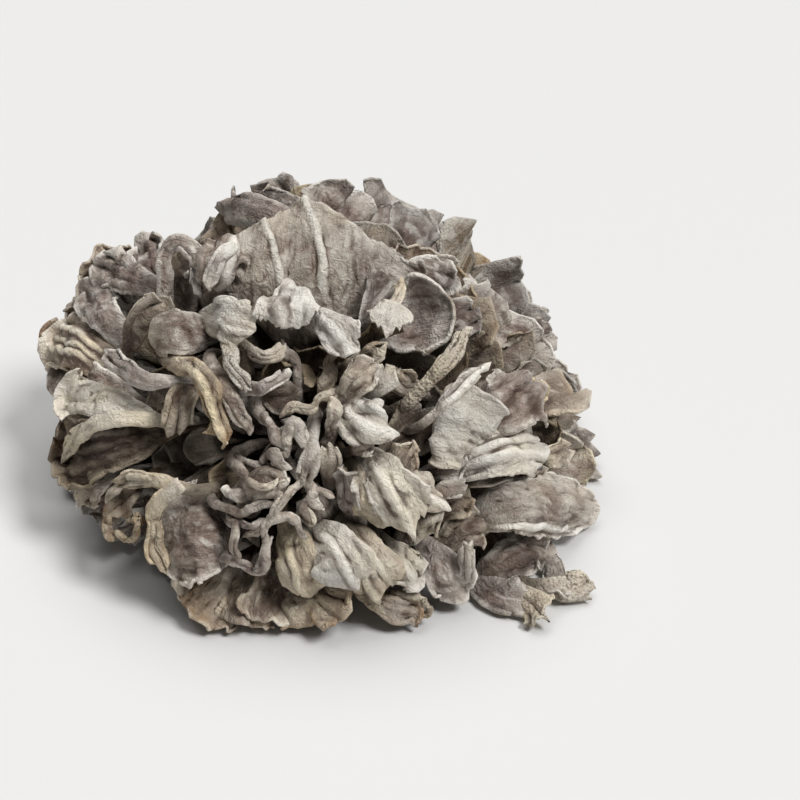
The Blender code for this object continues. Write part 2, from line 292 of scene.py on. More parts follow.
def add_piece(
    name: str,
    points: np.ndarray,
    faces: list[list[int]],
    layers: dict[str, np.ndarray],
    chart: np.ndarray,
    material: bpy.types.Material,
) -> bpy.types.Object:
    """Makes a smooth shaded mesh object with its colour layers and its grain map.

    Args:
        name: the object's name.
        points: its vertices in mm.
        faces: vertex numbers of each face.
        layers: four values for each vertex, by the layer's name.
        chart: two grain coordinates for each vertex, in metres.
        material: what it is made of.

    Returns:
        The object, linked to the scene.
    """
    mesh = bpy.data.meshes.new(name)
    mesh.from_pydata(points * MM, [], faces)
    mesh.polygons.foreach_set("use_smooth", np.ones(len(mesh.polygons), bool))
    for layer, values in layers.items():
        colours = mesh.attributes.new(layer, "FLOAT_COLOR", "POINT")
        colours.data.foreach_set("color", values.astype(np.float32).ravel())
    corners = np.empty(len(mesh.loops), int)
    mesh.loops.foreach_get("vertex_index", corners)
    mesh.uv_layers.new(name="grain").data.foreach_set("uv", chart[corners].astype(np.float32).ravel())
    mesh.materials.append(material)
    mesh.update()
    made = bpy.data.objects.new(name, mesh)
    bpy.context.scene.collection.objects.link(made)
    log.info("%s: %d points, %d faces", name, len(points), len(faces))
    return made


@dataclass
class Patch:
    """The closed sheets that make one piece.

    Args:
        sheets: the sheets.
    """

    sheets: list["Sheet"]

    def joined(self, name: str) -> np.ndarray:
        """One of the sheets' arrays, joined over them all.

        Args:
            name: the array's name in a sheet.

        Returns:
            The joined array.
        """
        return np.concatenate([getattr(sheet, name) for sheet in self.sheets])

    def to_object(self, name: str, material: bpy.types.Material) -> bpy.types.Object:
        """Makes the patch's piece.

        Args:
            name: the object's name.
            material: what it is made of.

        Returns:
            The object.
        """
        starts = np.cumsum([0, *(len(sheet.vertices) for sheet in self.sheets)])
        quads = np.concatenate([sheet.quads + start for sheet, start in zip(self.sheets, starts)])
        layers = {layer: self.joined(layer) for layer in ("marks", "tints", "casts")}
        points, chart = self.joined("vertices"), self.joined("grain")
        return add_piece(name, points, quads.tolist(), layers, chart, material)


class Shelter:
    """How far each place in the cluster is hidden from the open air.

    The cluster is marked in a grid of small cells. Along each of many directions the
    filled cells within reach are added up, and a way is open as exp(-density * sum).
    STEP is a cell's size and LOW the grid's low corner, in mm; REACH counts cells; the WAYS
    directions take up SWEEP of a half sphere's height from straight up. A vertex is read
    OUT mm off its sheet: it is fully hidden at SHUT, and fully lit at SHUT + OPENING. How
    hidden it is becomes painted shade in its colour.
    """

    STEP = 2.0
    LOW = np.array([-104.0, -100.0, -8.0])
    CELLS = (104, 100, 56)
    REACH = 13
    DENSITY = 0.42
    WAYS = 40
    SWEEP = 1.25
    OUT = 3.0
    SHUT = 0.05
    OPENING = 0.33

    def __init__(self, patches: list[Patch]) -> None:
        """Marks the cells and looks along every direction.

        Args:
            patches: everything the cluster is made of.
        """
        filled = np.zeros(self.CELLS, np.float32)
        for patch in patches:
            cell = ((patch.joined("vertices") - self.LOW) / self.STEP).astype(int)
            cell = np.clip(cell, 0, np.array(self.CELLS) - 1)
            filled[tuple(cell.T)] = 1.0
        padded = np.pad(filled, self.REACH)
        k = np.arange(self.WAYS)
        rise = 1 - (k + 0.5) / self.WAYS * self.SWEEP
        turn = k * math.radians(GOLDEN_TURN)
        level = np.sqrt(1 - rise**2)
        ways = np.stack([level * np.cos(turn), level * np.sin(turn), rise], axis=1)
        self.open = np.zeros(self.CELLS, np.float32)
        for way in ways:
            met = np.zeros(self.CELLS, np.float32)
            for step in range(1, self.REACH):
                a, b, c = (np.rint(way * step).astype(int) + self.REACH).tolist()
                nx, ny, nz = self.CELLS
                met += padded[a : a + nx, b : b + ny, c : c + nz]
            self.open += np.exp(-self.DENSITY * met) / len(ways)

    def at(self, points: np.ndarray) -> np.ndarray:
        """Openness at the points, read between the cells' middles.

        Args:
            points: in mm.

        Returns:
            0 where hidden to 1 in the open.
        """
        spot = (points - self.LOW) / self.STEP - 0.5
        spot = np.clip(spot, 0, np.array(self.CELLS) - 1.001)
        cell = spot.astype(int)
        part = spot - cell
        total = np.zeros(len(points))
        for corner in np.ndindex(2, 2, 2):
            weight = np.where(np.array(corner) == 1, part, 1 - part).prod(axis=-1)
            total += weight * self.open[tuple((cell + corner).T)]
        return total

    def shade(self, patch: Patch) -> None:
        """Writes how hidden each point is into its tints' last channel.

        Args:
            patch: the sheets to shade.
        """
        for sheet in patch.sheets:
            opened = self.at(sheet.vertices + self.OUT * sheet.normals)
            hidden = 1 - ease((opened - self.SHUT) / self.OPENING)
            # painted shade: the hidden share goes into the depth channel, which darkens the colour
            sheet.tints[:, 3] = np.maximum(sheet.tints[:, 3], hidden)


def smooth_line(points: np.ndarray, samples: int) -> np.ndarray:
    """A Catmull-Rom curve through the points, evenly sampled by length.

    Args:
        points: the points it passes, in mm.
        samples: how many points to give back.

    Returns:
        Array of samples x 3.
    """
    ends = np.vstack([2 * points[0] - points[1], points, 2 * points[-1] - points[-2]])
    t = np.linspace(0, 1, SPAN_STEPS, endpoint=False)[:, None]
    spans = [
        0.5 * (2 * q + (r - p) * t + (2 * p - 5 * q + 4 * r - s) * t**2 + (3 * q - p - 3 * r + s) * t**3)
        for p, q, r, s in zip(ends, ends[1:], ends[2:], ends[3:])
    ]
    dense = np.vstack([*spans, points[-1:]])
    along = run_length(dense)
    at = np.linspace(0, along[-1], samples)
    return np.stack([np.interp(at, along, dense[:, k]) for k in range(3)], axis=1)


def run_length(path: np.ndarray) -> np.ndarray:
    """Distance along a path at each of its points."""
    steps = np.linalg.norm(np.diff(path, axis=0), axis=1)
    return np.concatenate([[0.0], np.cumsum(steps)])


def stalk_line(heel: np.ndarray, forward: np.ndarray) -> np.ndarray:
    """A Bezier curve from inside the head to a blade's heel, where it runs along forward.

    Args:
        heel: where the blade starts, in mm.
        forward: the blade's direction there.

    Returns:
        Points up to the heel, which is left out.
    """
    start_share = 0.45
    handle_share = 0.4
    anchor = CORE + (heel - CORE) * start_share
    reach = handle_share * np.linalg.norm(heel - anchor)
    t = np.linspace(0, 1, SPAN_STEPS, endpoint=False)[:, None]
    first = anchor + unit(heel - CORE) * reach
    second = heel - forward * reach
    outer = (1 - t) ** 3 * anchor + 3 * (1 - t) ** 2 * t * first
    return outer + 3 * (1 - t) * t**2 * second + t**3 * heel


@dataclass
class Spine:
    """A frond's centreline with its frame: along, across and out of the cap side.

    Args:
        line: points from heel to tip in mm.
        facing: the way the cap looks.
        roll: degrees about the line at heel and tip.
        stalk: whether a stalk runs on into the head.
    """

    line: np.ndarray
    facing: np.ndarray
    roll: Pair
    stalk: bool = True

    def __post_init__(self) -> None:
        """Works out the path, its lengths and its frame."""
        forward = unit(self.line[1] - self.line[0])
        lead = stalk_line(self.line[0], forward) if self.stalk else self.line[:0]
        self.path = np.vstack([lead, self.line])
        along = run_length(self.path)
        self.stalk_length = along[len(lead)]
        self.along = along - self.stalk_length
        self.length = self.along[-1]
        self.forward = unit(np.gradient(self.path, axis=0))
        level = unit(self.facing - dot(self.facing, self.forward) * self.forward)
        share = np.clip(self.along / self.length, 0, 1)
        turn = np.radians(self.roll[0] + (self.roll[1] - self.roll[0]) * share)[:, None]
        across = np.cross(self.forward, level)
        self.out = level * np.cos(turn) + across * np.sin(turn)
        self.across = np.cross(self.forward, self.out)

    def place(self, x: np.ndarray, y: np.ndarray, h: np.ndarray) -> np.ndarray:
        """Points at x across, y along and h out of the sheet; past the tip it runs straight.

        Args:
            x: mm across.
            y: mm along from the heel; below 0 is the stalk.
            h: mm out of the cap side.

        Returns:
            Array of the points.
        """

        def look_up(table: np.ndarray) -> np.ndarray:
            return np.stack([np.interp(y, self.along, table[:, k]) for k in range(3)], axis=-1)

        beyond = np.maximum(y - self.length, 0)[..., None]
        return (
            look_up(self.path)
            + beyond * self.forward[-1]
            + x[..., None] * unit(look_up(self.across))
            + h[..., None] * unit(look_up(self.out))
        )


def stations(length: float, cell: float) -> np.ndarray:
    """Positions from 0 to length about a cell apart, with closer ones next to the end.

    Args:
        length: in mm.
        cell: distance between positions in mm.

    Returns:
        The positions in mm.
    """
    first_step, *last_steps = 0.75, 0.42, 0.2, 0.06
    body = np.linspace(0, length - first_step, max(4, int(length / cell)))
    return np.concatenate([body, length - np.array(last_steps), [length]])


def at_least(bend: np.ndarray) -> np.ndarray:
    """Bends in radians per mm, with those next to 0 replaced by the least bend."""
    return np.where(np.abs(bend) < LEAST_BEND, LEAST_BEND, bend)


class Sheet:
    """The closed sheet of one frond, computed on a grid of rows along and columns across.

    LINE_POINTS sample the spine. STALK_MM is the stalk's least width, STALK_THICK its
    thickness, and the heel narrows into it over NARROWING mm. The columns past SIDE_BAND of
    the half-width are the ones that roll. The pale rim, partly the edge's own colour and
    partly a painted highlight, fades over RIM_FADE mm.
    """

    LINE_POINTS = 40
    STALK_MM = 3.2
    STALK_THICK = 3.0
    NARROWING = 9.0
    SIDE_BAND = 0.72
    RIM_FADE = 0.95
    SEED_STEP = np.array([37.0, 11.0, 5.0])
    GRAIN_STEP = np.array([0.31, 0.17])

    def __init__(self, frond: Frond) -> None:
        """Computes the sheet.

        Args:
            frond: what to make.
        """
        self.frond = frond
        self.shift = self.SEED_STEP * frond.seed
        if frond.world:
            points = np.array(frond.spine, float)
        else:
            points = np.array([VIEW.on_dome(place) for place in frond.spine])
        facing = VIEW.towards if frond.facing is None else unit(np.array(frond.facing, float))
        line = smooth_line(points, self.LINE_POINTS)
        wander = [NOISE.at(line + self.shift + 31.0 * axis, 7.0) for axis in range(3)]
        held = np.sin(np.linspace(0, np.pi, self.LINE_POINTS))[:, None]
        line = line + frond.kink * np.stack(wander, axis=1) * held
        self.spine = Spine(line, facing, frond.roll, frond.stalk)
        self.lay_out()
        self.fold()
        self.thicken()

    def noise(self, x: np.ndarray, y: np.ndarray, grain: float, layer: float) -> np.ndarray:
        """Noise over the flat sheet, one pattern for each layer and frond.

        Args:
            x: mm across.
            y: mm along.
            grain: size of the pattern in mm.
            layer: picks the pattern.

        Returns:
            Values from -1 to 1.
        """
        points = np.stack([x, y, np.full_like(x, layer * 91.7)], axis=-1) + self.shift
        return NOISE.at(points, grain)

    def lay_out(self) -> None:
        """Lays the grid out flat: along is y, across is x, both in mm.

        The rim is an arc: at angle a = v * spread, x is the half-width times sin(a) and y
        hangs back by corner * (1 - cos a), or by corner * |sin a| on a pointed one. The
        half-width opens as u to the power fill.
        """
        frond, spine = self.frond, self.spine
        length = spine.length
        rows = stations(length, frond.cell) / length
        stalk_rows = max(3, int(spine.stalk_length / (frond.cell * 2.2)))
        lead = -np.linspace(spine.stalk_length / length, 0, stalk_rows, endpoint=False)
        if not frond.stalk:
            lead = lead[:0]
        u = np.concatenate([lead, rows])
        half = stations(frond.width / 2, frond.cell) / (frond.width / 2)
        v = np.concatenate([-half[:0:-1], half])
        self.u, self.v = np.meshgrid(u, v, indexing="ij")
        rising = np.maximum(self.u, 0)
        spread = math.radians(frond.spread)
        angle = self.v * spread
        opened = frond.heel + (1 - frond.heel) * rising**frond.fill
        narrow = frond.heel * np.exp(np.minimum(self.u, 0) * length / self.NARROWING)
        stalk_half = np.maximum(narrow, min(frond.heel, self.STALK_MM / frond.width))
        self.half = frond.width / 2 * np.where(self.u < 0, stalk_half, opened)
        reach = np.sin(angle) / math.sin(min(spread, math.pi / 2))
        x = self.half * np.where(rising > 0, (1 - rising) * self.v + rising * reach, self.v)
        hang = (1 - frond.point) * (1 - np.cos(angle)) + frond.point * np.abs(np.sin(angle))
        y = length * (self.u - frond.corner * hang * rising**1.4)
        depth, count = frond.lobes
        across = self.v * count
        lobe = self.noise(across * 10, across * 0, 10.0, 1)
        torn = 0.6 - 2.0 * np.abs(self.noise(across * 10, across * 0, 4.5, 2))
        nick = 0.4 - 1.5 * np.abs(self.noise(across * 10, across * 0, 1.6, 19))
        y = y + (depth * (lobe + 0.8 * torn) + 0.5 * min(1.0, depth) * nick) * rising**3
        sway = 0.12 * self.noise(self.u * length, self.v * 3, 7.0, 3)
        sway = frond.knobby * (sway + 0.05 * self.noise(self.u * length, self.v * 2, 2.2, 21))
        x = x * (1 + sway * ease(rising * 3))
        self.x, self.y = x, y
        self.to_rim = (1 - self.u) * length
        self.to_side = (1 - np.abs(self.v)) * np.maximum(self.half, 1.0)

    def fold(self) -> None:
        """Folds the flat grid: wrap, pleats, ruffle and crumpling, then the rolled edges."""
        rising = np.clip(self.u, 0, 1)
        x, height = self.wrap_over(rising)
        height = self.raise_pleats(height, rising)
        x, height = self.ruffle(x, height, rising)
        self.crumple(x, height, rising)
        self.roll_rim()
        self.roll_sides()
        self.points[..., 2] = np.maximum(self.points[..., 2], FLOOR_GAP + 0.4)

    def wrap_over(self, rising: np.ndarray) -> tuple[np.ndarray, np.ndarray]:
        """Bends each row into an arc: x becomes sin(x * bend) / bend, height (1 - cos) / bend.

        Args:
            rising: 0 at the heel to 1 at the rim.

        Returns:
            The new x and height.
        """
        start, end = self.frond.wrap
        wrap = np.radians(start + (end - start) * rising)
        wrap = wrap * (1 + 0.25 * self.noise(self.y, self.x * 0, 9.0, 4))
        bend = at_least(wrap / np.maximum(2 * self.half, 1.0))
        turned = self.x * bend
        return np.sin(turned) / bend, (1 - np.cos(turned)) / bend

    def raise_pleats(self, height: np.ndarray, rising: np.ndarray) -> np.ndarray:
        """Adds the pleats, each exp(-d) over its line at d half-widths from it.

        Notes the painted highlight on their ridges, strongest on tall narrow ones, and the
        painted shade in the folds beside them.

        Args:
            height: before the pleats.
            rising: 0 at the heel to 1 at the rim.

        Returns:
            The new height.
        """
        self.ridges = np.zeros_like(height)
        self.pleat_shade = np.zeros_like(height)
        grown = ease(rising * 2.5)
        for at_heel, at_rim, tall, wide in self.frond.pleats:
            centre = (at_heel + (at_rim - at_heel) * rising) * self.half
            centre = centre + 0.8 * self.noise(self.y, self.y * 0, 6.0, 20 + at_rim)
            apart = np.abs(self.x - centre) / wide
            ridge = np.exp(-np.sqrt(apart**2 + 0.04)) * grown
            height = height + tall * ridge
            beside = np.exp(-((apart - 1.7) ** 2) / 0.5) * grown * min(tall / 2, 1)
            self.pleat_shade = np.maximum(self.pleat_shade, beside)
            # pale: how strong the painted highlight along this ridge is
            pale = float(np.clip((tall / wide - 1.6) / 0.8, 0, 1))
            self.ridges = np.maximum(self.ridges, np.clip(3.2 * ridge - 1.0, 0, 1) * pale)
        return height

    def ruffle(
        self, x: np.ndarray, height: np.ndarray, rising: np.ndarray
    ) -> tuple[np.ndarray, np.ndarray]:
        """Adds waves along the rim: a sine across that grows towards it and leans over.

        Args:
            x: before the waves.
            height: before the waves.
            rising: 0 at the heel to 1 at the rim.

        Returns:
            The new x and height.
        """
        high, waves = self.frond.ruffle
        phase = np.pi * waves * self.v + 2.5 * self.noise(self.v * 8, self.y * 0.3, 6.0, 5)
        swell = high * rising**2.2
        return x - 0.25 * swell * np.cos(phase) * (1 - np.abs(self.v) ** 4), height + swell * np.sin(phase)

    def crumple(self, x: np.ndarray, height: np.ndarray, rising: np.ndarray) -> None:
        """Crumples the sheet with noise of falling grain, and puts it on the spine.

        Folds are 1 - 2.4 * |noise|, which has sharp crests where the noise crosses 0.

        Args:
            x: before the crumpling.
            height: before the crumpling.
            rising: 0 at the heel to 1 at the rim.
        """
        rough = self.frond.crumple * (0.35 + 0.65 * ease(rising * 2 + 0.3))
        scale = float(np.clip(self.frond.width / 17.0, 0.55, 1.15))
        bent_x = self.x + 1.6 * self.noise(self.x, self.y, 7.0, 12)
        bent_y = self.y + 1.6 * self.noise(self.x, self.y, 7.0, 13)
        broad = self.noise(bent_x, bent_y * 0.7, 13.0 * scale, 6)
        middle = self.noise(bent_x, bent_y * 0.8, 5.5 * scale, 7)
        fold_line = 1 - 2.4 * np.abs(self.noise(bent_x * 1.3, bent_y * 0.5, 5.0 * scale, 8))
        wrinkle = 1 - 2.4 * np.abs(self.noise(bent_x * 1.2, bent_y * 0.6, 2.3, 9))
        streak = self.noise(bent_x, bent_y * 0.2, 1.1, 10)
        tiny = self.noise(self.x, self.y, 1.1, 11)
        folds = 0.25 * middle + 0.5 * fold_line + 0.3 * wrinkle + 0.16 * streak + 0.09 * tiny
        # crease is high on fold crests and low in folds and beside pleats; the material paints highlight on
        # the crests and shade in the folds from it
        crease = 0.45 + 0.30 * fold_line + 0.26 * wrinkle + 0.2 * streak - 0.4 * self.pleat_shade
        self.crease = np.clip(crease, 0, 1)
        height = height + rough * scale * (1.3 * broad + folds)
        x = x + rough * 0.9 * self.noise(self.x, self.y, 6.0, 12)
        y = self.y + rough * 0.9 * self.noise(self.x, self.y, 6.0, 13)
        self.points = self.spine.place(x, y, height)

    def roll_rim(self) -> None:
        """Rolls the rows past the curl's start into an arc whose tightness varies."""
        start, degrees = self.frond.curl
        rows = self.u[:, 0]
        first = int(np.searchsorted(rows, start))
        if degrees == 0 or first >= len(rows) - 2:
            return
        base = self.points[first]
        along = unit(self.points[first] - self.points[first - 2])
        side = unit(np.gradient(base, axis=0))
        out = unit(np.cross(side, along))
        run = (self.u[first:] - rows[first]) * self.spine.length
        uneven = 0.25 if self.frond.world else 0.75
        vary = 1 + uneven * self.noise(self.v * 12, self.v * 0, 5.0, 14)[first:]
        total = math.radians(degrees) * vary
        bend = at_least(total / run[-1].max())
        arc = run * bend
        rolled = base + along * (np.sin(arc) / bend)[..., None]
        rolled = rolled + out * ((1 - np.cos(arc)) / bend)[..., None]
        kept = self.points[first:] - (base + along * run[..., None])
        self.points[first:] = rolled + kept * 0.5

    def roll_sides(self) -> None:
        """Rolls the columns next to each side edge the same way."""
        degrees = self.frond.side_curl
        if degrees == 0:
            return
        columns = self.v[0]
        for sign in (-1, 1):
            band = np.where(sign * columns > self.SIDE_BAND)[0]
            if sign < 0:
                band = band[::-1]
            start = band[0]
            base = self.points[:, start]
            along = unit(base - self.points[:, start - 2 * sign])
            forward = unit(np.gradient(base, axis=0))
            out = unit(np.cross(along, forward) * sign)
            run = (np.abs(self.v[:, band]) - abs(columns[start])) * self.half[:, band]
            vary = 1 + 0.9 * self.noise(self.y[:, band], self.v[:, band] * 0 + sign, 8.0, 15)
            ramp = ease(np.clip(self.u[:, band], 0, 1) * 3)
            total = math.radians(degrees) * vary * ramp
            bend = at_least(total / np.maximum(run[:, -1:], 0.2))
            arc = run * bend
            rolled = (
                base[:, None]
                + along[:, None] * (np.sin(arc) / bend)[..., None]
                + out[:, None] * ((1 - np.cos(arc)) / bend)[..., None]
            )
            kept = self.points[:, band] - (base[:, None] + along[:, None] * run[..., None])
            self.points[:, band] = rolled + kept * 0.5

    def thicken(self) -> None:
        """Gives the sheet two faces that close in a rounded edge.

        At distance d from the edge the thickness is T * sqrt(1 - (1 - d / r) ^ 2), with r a
        little over half of T.
        """
        frond = self.frond
        along = np.gradient(self.points, axis=0)
        across = np.gradient(self.points, axis=1)
        normal = unit(np.cross(across, along))
        rising = np.clip(self.u, 0, 1)
        thick = frond.root_mm + (frond.rim_mm - frond.root_mm) * rising**0.6
        thick = np.where(self.u < 0, max(frond.root_mm, self.STALK_THICK), thick)
        edge = np.minimum(self.to_rim, self.to_side)
        if not frond.stalk:
            edge = np.minimum(edge, self.u * self.spine.length)
        near = np.clip(edge / (0.62 * thick), 0, 1)
        half = 0.5 * thick * np.sqrt(np.maximum(0, 1 - (1 - near) ** 2))
        half[0] = 0
        top = self.points + normal * half[..., None]
        bottom = self.points - normal * half[..., None]
        rows, columns = self.u.shape
        index = np.arange(rows * columns).reshape(rows, columns)
        inner = np.zeros_like(index, bool)
        inner[1:-1, 1:-1] = True
        under = index.copy()
        under[inner] = rows * columns + np.arange(inner.sum())
        a, b, c, d = index[:-1, :-1], index[:-1, 1:], index[1:, 1:], index[1:, :-1]
        over_quads = np.stack([a, b, c, d], axis=-1).reshape(-1, 4)
        a, b, c, d = under[:-1, :-1], under[:-1, 1:], under[1:, 1:], under[1:, :-1]
        under_quads = np.stack([d, c, b, a], axis=-1).reshape(-1, 4)
        self.vertices = np.concatenate([top.reshape(-1, 3), bottom[inner]])
        self.vertices[:, 2] = np.maximum(self.vertices[:, 2], FLOOR_GAP)
        self.quads = np.concatenate([over_quads, under_quads])
        self.normals = np.concatenate([normal.reshape(-1, 3), -normal[inner]])
        self.colour(inner, edge)

    def colour(self, inner: np.ndarray, edge: np.ndarray) -> None:
        """Works out the colour layers.

        marks holds rim, margin, underside and crease, from which the material paints shade in
        folds and highlight on crests and rims; tints holds dark, cream, ochre and depth, the
        painted shade of deep and hidden places; casts holds the frond's own lightness and
        warmth, its spongy share and its pale ridges, a painted highlight.

        Args:
            inner: which vertices have one on the underside too.
            edge: mm from each vertex to the nearest edge.
        """
        frond = self.frond
        # rim: the pale edge band, partly the edge's own colour and partly a painted highlight
        rim = np.exp(-edge / self.RIM_FADE)
        along_rim = np.exp(-self.to_rim / (0.14 * self.spine.length + 0.6))
        margin = np.maximum(along_rim, 0.8 * np.exp(-self.to_side / (0.07 * frond.width + 0.15)))
        # painted shade: deep fronds and the stalk running into the head are darkened
        depth = np.maximum(frond.depth, 0.7 * ease(-self.u * self.spine.length / 5.0))
        marks = np.stack([rim, margin, np.zeros_like(rim), self.crease], axis=-1)
        below = marks.copy()
        below[..., 2] = 1.0
        dark, cream, ochre, warm = frond.tone.value
        zone = self.noise(self.to_rim, self.v * 6, 4.5, 22)
        # the pale ridges are a painted highlight: they take away dark here and add cream below
        dark = dark + 0.35 * self.noise(self.x, self.y, 12.0, 16) + 0.2 * zone - self.ridges
        patches = self.noise(self.x, self.y * 0.7, 6.0, 17)
        cream = cream * (1 + (1.3 - cream) * patches + 0.5 * zone) + self.ridges
        ochre = ochre * (0.9 + 0.9 * self.noise(self.x, self.y, 8.0, 18))
        tints = np.clip(np.stack([dark, cream, ochre, depth], axis=-1), 0, 1)
        chance = np.random.default_rng(frond.seed)
        light = np.full_like(rim, chance.uniform(0, 1) if frond.world else chance.uniform(0.5, 0.9))
        vary = 0.3 if frond.world else 0.12
        warm = warm + chance.uniform(-vary, vary) + 0.25 * self.noise(self.x, self.y, 14.0, 23)
        spongy = np.full_like(rim, frond.porous)
        casts = np.clip(np.stack([light, warm, spongy, self.ridges], axis=-1), 0, 1)
        self.marks = np.concatenate([marks.reshape(-1, 4), below[inner]])
        self.tints = np.concatenate([tints.reshape(-1, 4), tints[inner]])
        self.casts = np.concatenate([casts.reshape(-1, 4), casts[inner]])
        chart = np.stack([self.x, self.y], axis=-1) * MM + self.GRAIN_STEP * frond.seed
        self.grain = np.concatenate([chart.reshape(-1, 2), chart[inner]])


Value = bpy.types.NodeSocket | float | tuple


class Ink:
    """Short ways to add and join shader nodes in one tree."""

    def __init__(self, tree: bpy.types.NodeTree) -> None:
        """Starts in a tree.

        Args:
            tree: where the nodes go.
        """
        self.tree = tree

    def node(self, kind: str, inputs: dict | None = None, **settings: object) -> bpy.types.Node:
        """Adds a node, sets its properties, and sets or links its inputs.

        Args:
            kind: the node's type.
            inputs: values or sockets by input name or index.
            settings: the node's own properties.

        Returns:
            The node.
        """
        made = self.tree.nodes.new(kind)
        for name, value in settings.items():
            setattr(made, name, value)
        for name, value in (inputs or {}).items():
            if isinstance(value, bpy.types.NodeSocket):
                self.tree.links.new(value, made.inputs[name])
            else:
                made.inputs[name].default_value = value
        return made

    def math(self, operation: str, a: Value, b: Value = 0.0, clamp: bool = False) -> bpy.types.NodeSocket:
        """The result of a Math node."""
        return self.node("ShaderNodeMath", {0: a, 1: b}, operation=operation, use_clamp=clamp).outputs[0]

    def times(self, a: Value, b: Value, clamp: bool = False) -> bpy.types.NodeSocket:
        """a times b."""
        return self.math("MULTIPLY", a, b, clamp)

    def plus(self, a: Value, b: Value) -> bpy.types.NodeSocket:
        """a plus b."""
        return self.math("ADD", a, b)

    def mix(self, share: Value, a: Value, b: Value, blend: str = "MIX") -> bpy.types.NodeSocket:
        """Colour a mixed with colour b by a share."""
        inputs = {0: share, 6: a, 7: b}
        return self.node("ShaderNodeMix", inputs, data_type="RGBA", blend_type=blend).outputs[2]

    def noise(
        self, vector: Value, scale: float, detail: float = 3.0, rough: float = 0.55, warp: float = 0.0
    ) -> bpy.types.NodeSocket:
        """A noise texture's value."""
        inputs = {"Vector": vector, "Scale": scale, "Detail": detail, "Roughness": rough, "Distortion": warp}
        return self.node("ShaderNodeTexNoise", inputs).outputs["Fac"]

    def stretch(
        self, value: Value, low: float, high: float, to_low: float = 0.0, to_high: float = 1.0
    ) -> bpy.types.NodeSocket:
        """A value mapped smoothly from low and high to to_low and to_high."""
        inputs = {0: value, 1: low, 2: high, 3: to_low, 4: to_high}
        return self.node("ShaderNodeMapRange", inputs, interpolation_type="SMOOTHSTEP").outputs[0]

    def parts(self, colour_of: Value) -> bpy.types.bpy_prop_collection:
        """A colour's three channels."""
        return self.node("ShaderNodeSeparateColor", {0: colour_of}).outputs


def group_of(name: str, inputs: tuple, outputs: tuple) -> tuple:
    """Makes a node group with its sockets.

    Args:
        name: the group's name.
        inputs, outputs: pairs of name and socket type.

    Returns:
        The group, an Ink for its tree, its input node and its output node.
    """
    group = bpy.data.node_groups.new(name, "ShaderNodeTree")
    for label, kind in inputs:
        group.interface.new_socket(label, in_out="INPUT", socket_type=kind)
    for label, kind in outputs:
        group.interface.new_socket(label, in_out="OUTPUT", socket_type=kind)
    ink = Ink(group)
    return group, ink, ink.node("NodeGroupInput"), ink.node("NodeGroupOutput")


def wrinkle_group() -> bpy.types.NodeTree:
    """Dry wrinkles: fine ones that run from heel to rim, and a leathery net over them."""
    group, ink, given, result = group_of(
        "dry_wrinkles",
        (("Chart", "NodeSocketVector"), ("Place", "NodeSocketVector")),
        tuple((name, "NodeSocketFloat") for name in ("Height", "Lines", "Bands", "Creases")),
    )
    drawn = ink.node("ShaderNodeMapping", {"Vector": given.outputs["Chart"], "Scale": (1.0, 0.3, 1.0)})
    lines = ink.noise(drawn.outputs[0], 760.0, 4.0, 0.6, 1.2)
    long = ink.node("ShaderNodeMapping", {"Vector": given.outputs["Chart"], "Scale": (1.0, 0.13, 1.0)})
    bands = ink.noise(long.outputs[0], 330.0, 3.0, 0.6, 0.8)
    net = ink.noise(given.outputs["Place"], 400.0, 3.0, 0.5, 1.0)
    fine = ink.noise(given.outputs["Place"], 1500.0, 3.0, 0.6)
    folded = ink.math("ABSOLUTE", ink.math("SUBTRACT", net, 0.5))
    height = ink.plus(ink.times(lines, 0.9), ink.times(folded, 2.2))
    height = ink.plus(height, ink.times(fine, 0.45))
    ink.tree.links.new(height, result.inputs["Height"])
    ink.tree.links.new(lines, result.inputs["Lines"])
    ink.tree.links.new(bands, result.inputs["Bands"])
    # Creases: thin lines in the net's folds, which the material paints as shade
    ink.tree.links.new(ink.stretch(folded, 0.0, 0.055, 1.0, 0.0), result.inputs["Creases"])
    return group


def pore_group() -> bpy.types.NodeTree:
    """The spongy side: a net of small pits."""
    group, ink, given, result = group_of(
        "pore_net",
        (("Place", "NodeSocketVector"),),
        (("Height", "NodeSocketFloat"), ("Pits", "NodeSocketFloat")),
    )
    pits = ink.node(
        "ShaderNodeTexVoronoi",
        {"Vector": given.outputs["Place"], "Scale": 1350.0, "Randomness": 0.95},
        feature="SMOOTH_F1",
    ).outputs["Distance"]
    ink.tree.links.new(pits, result.inputs["Height"])
    ink.tree.links.new(ink.stretch(pits, 0.14, 0.42, 1.0, 0.0), result.inputs["Pits"])
    return group


def colour(red: float, green: float, blue: float) -> Colour:
    """A colour given as it shows on a screen, 0 to 255, as linear light.

    Args:
        red, green, blue: the channels.

    Returns:
        Linear red, green, blue and an alpha of 1.
    """
    parts = np.array([red, green, blue]) / 255.0
    linear = np.where(parts <= 0.04045, parts / 12.92, ((parts + 0.055) / 1.055) ** 2.4)
    return (*linear.tolist(), 1.0)


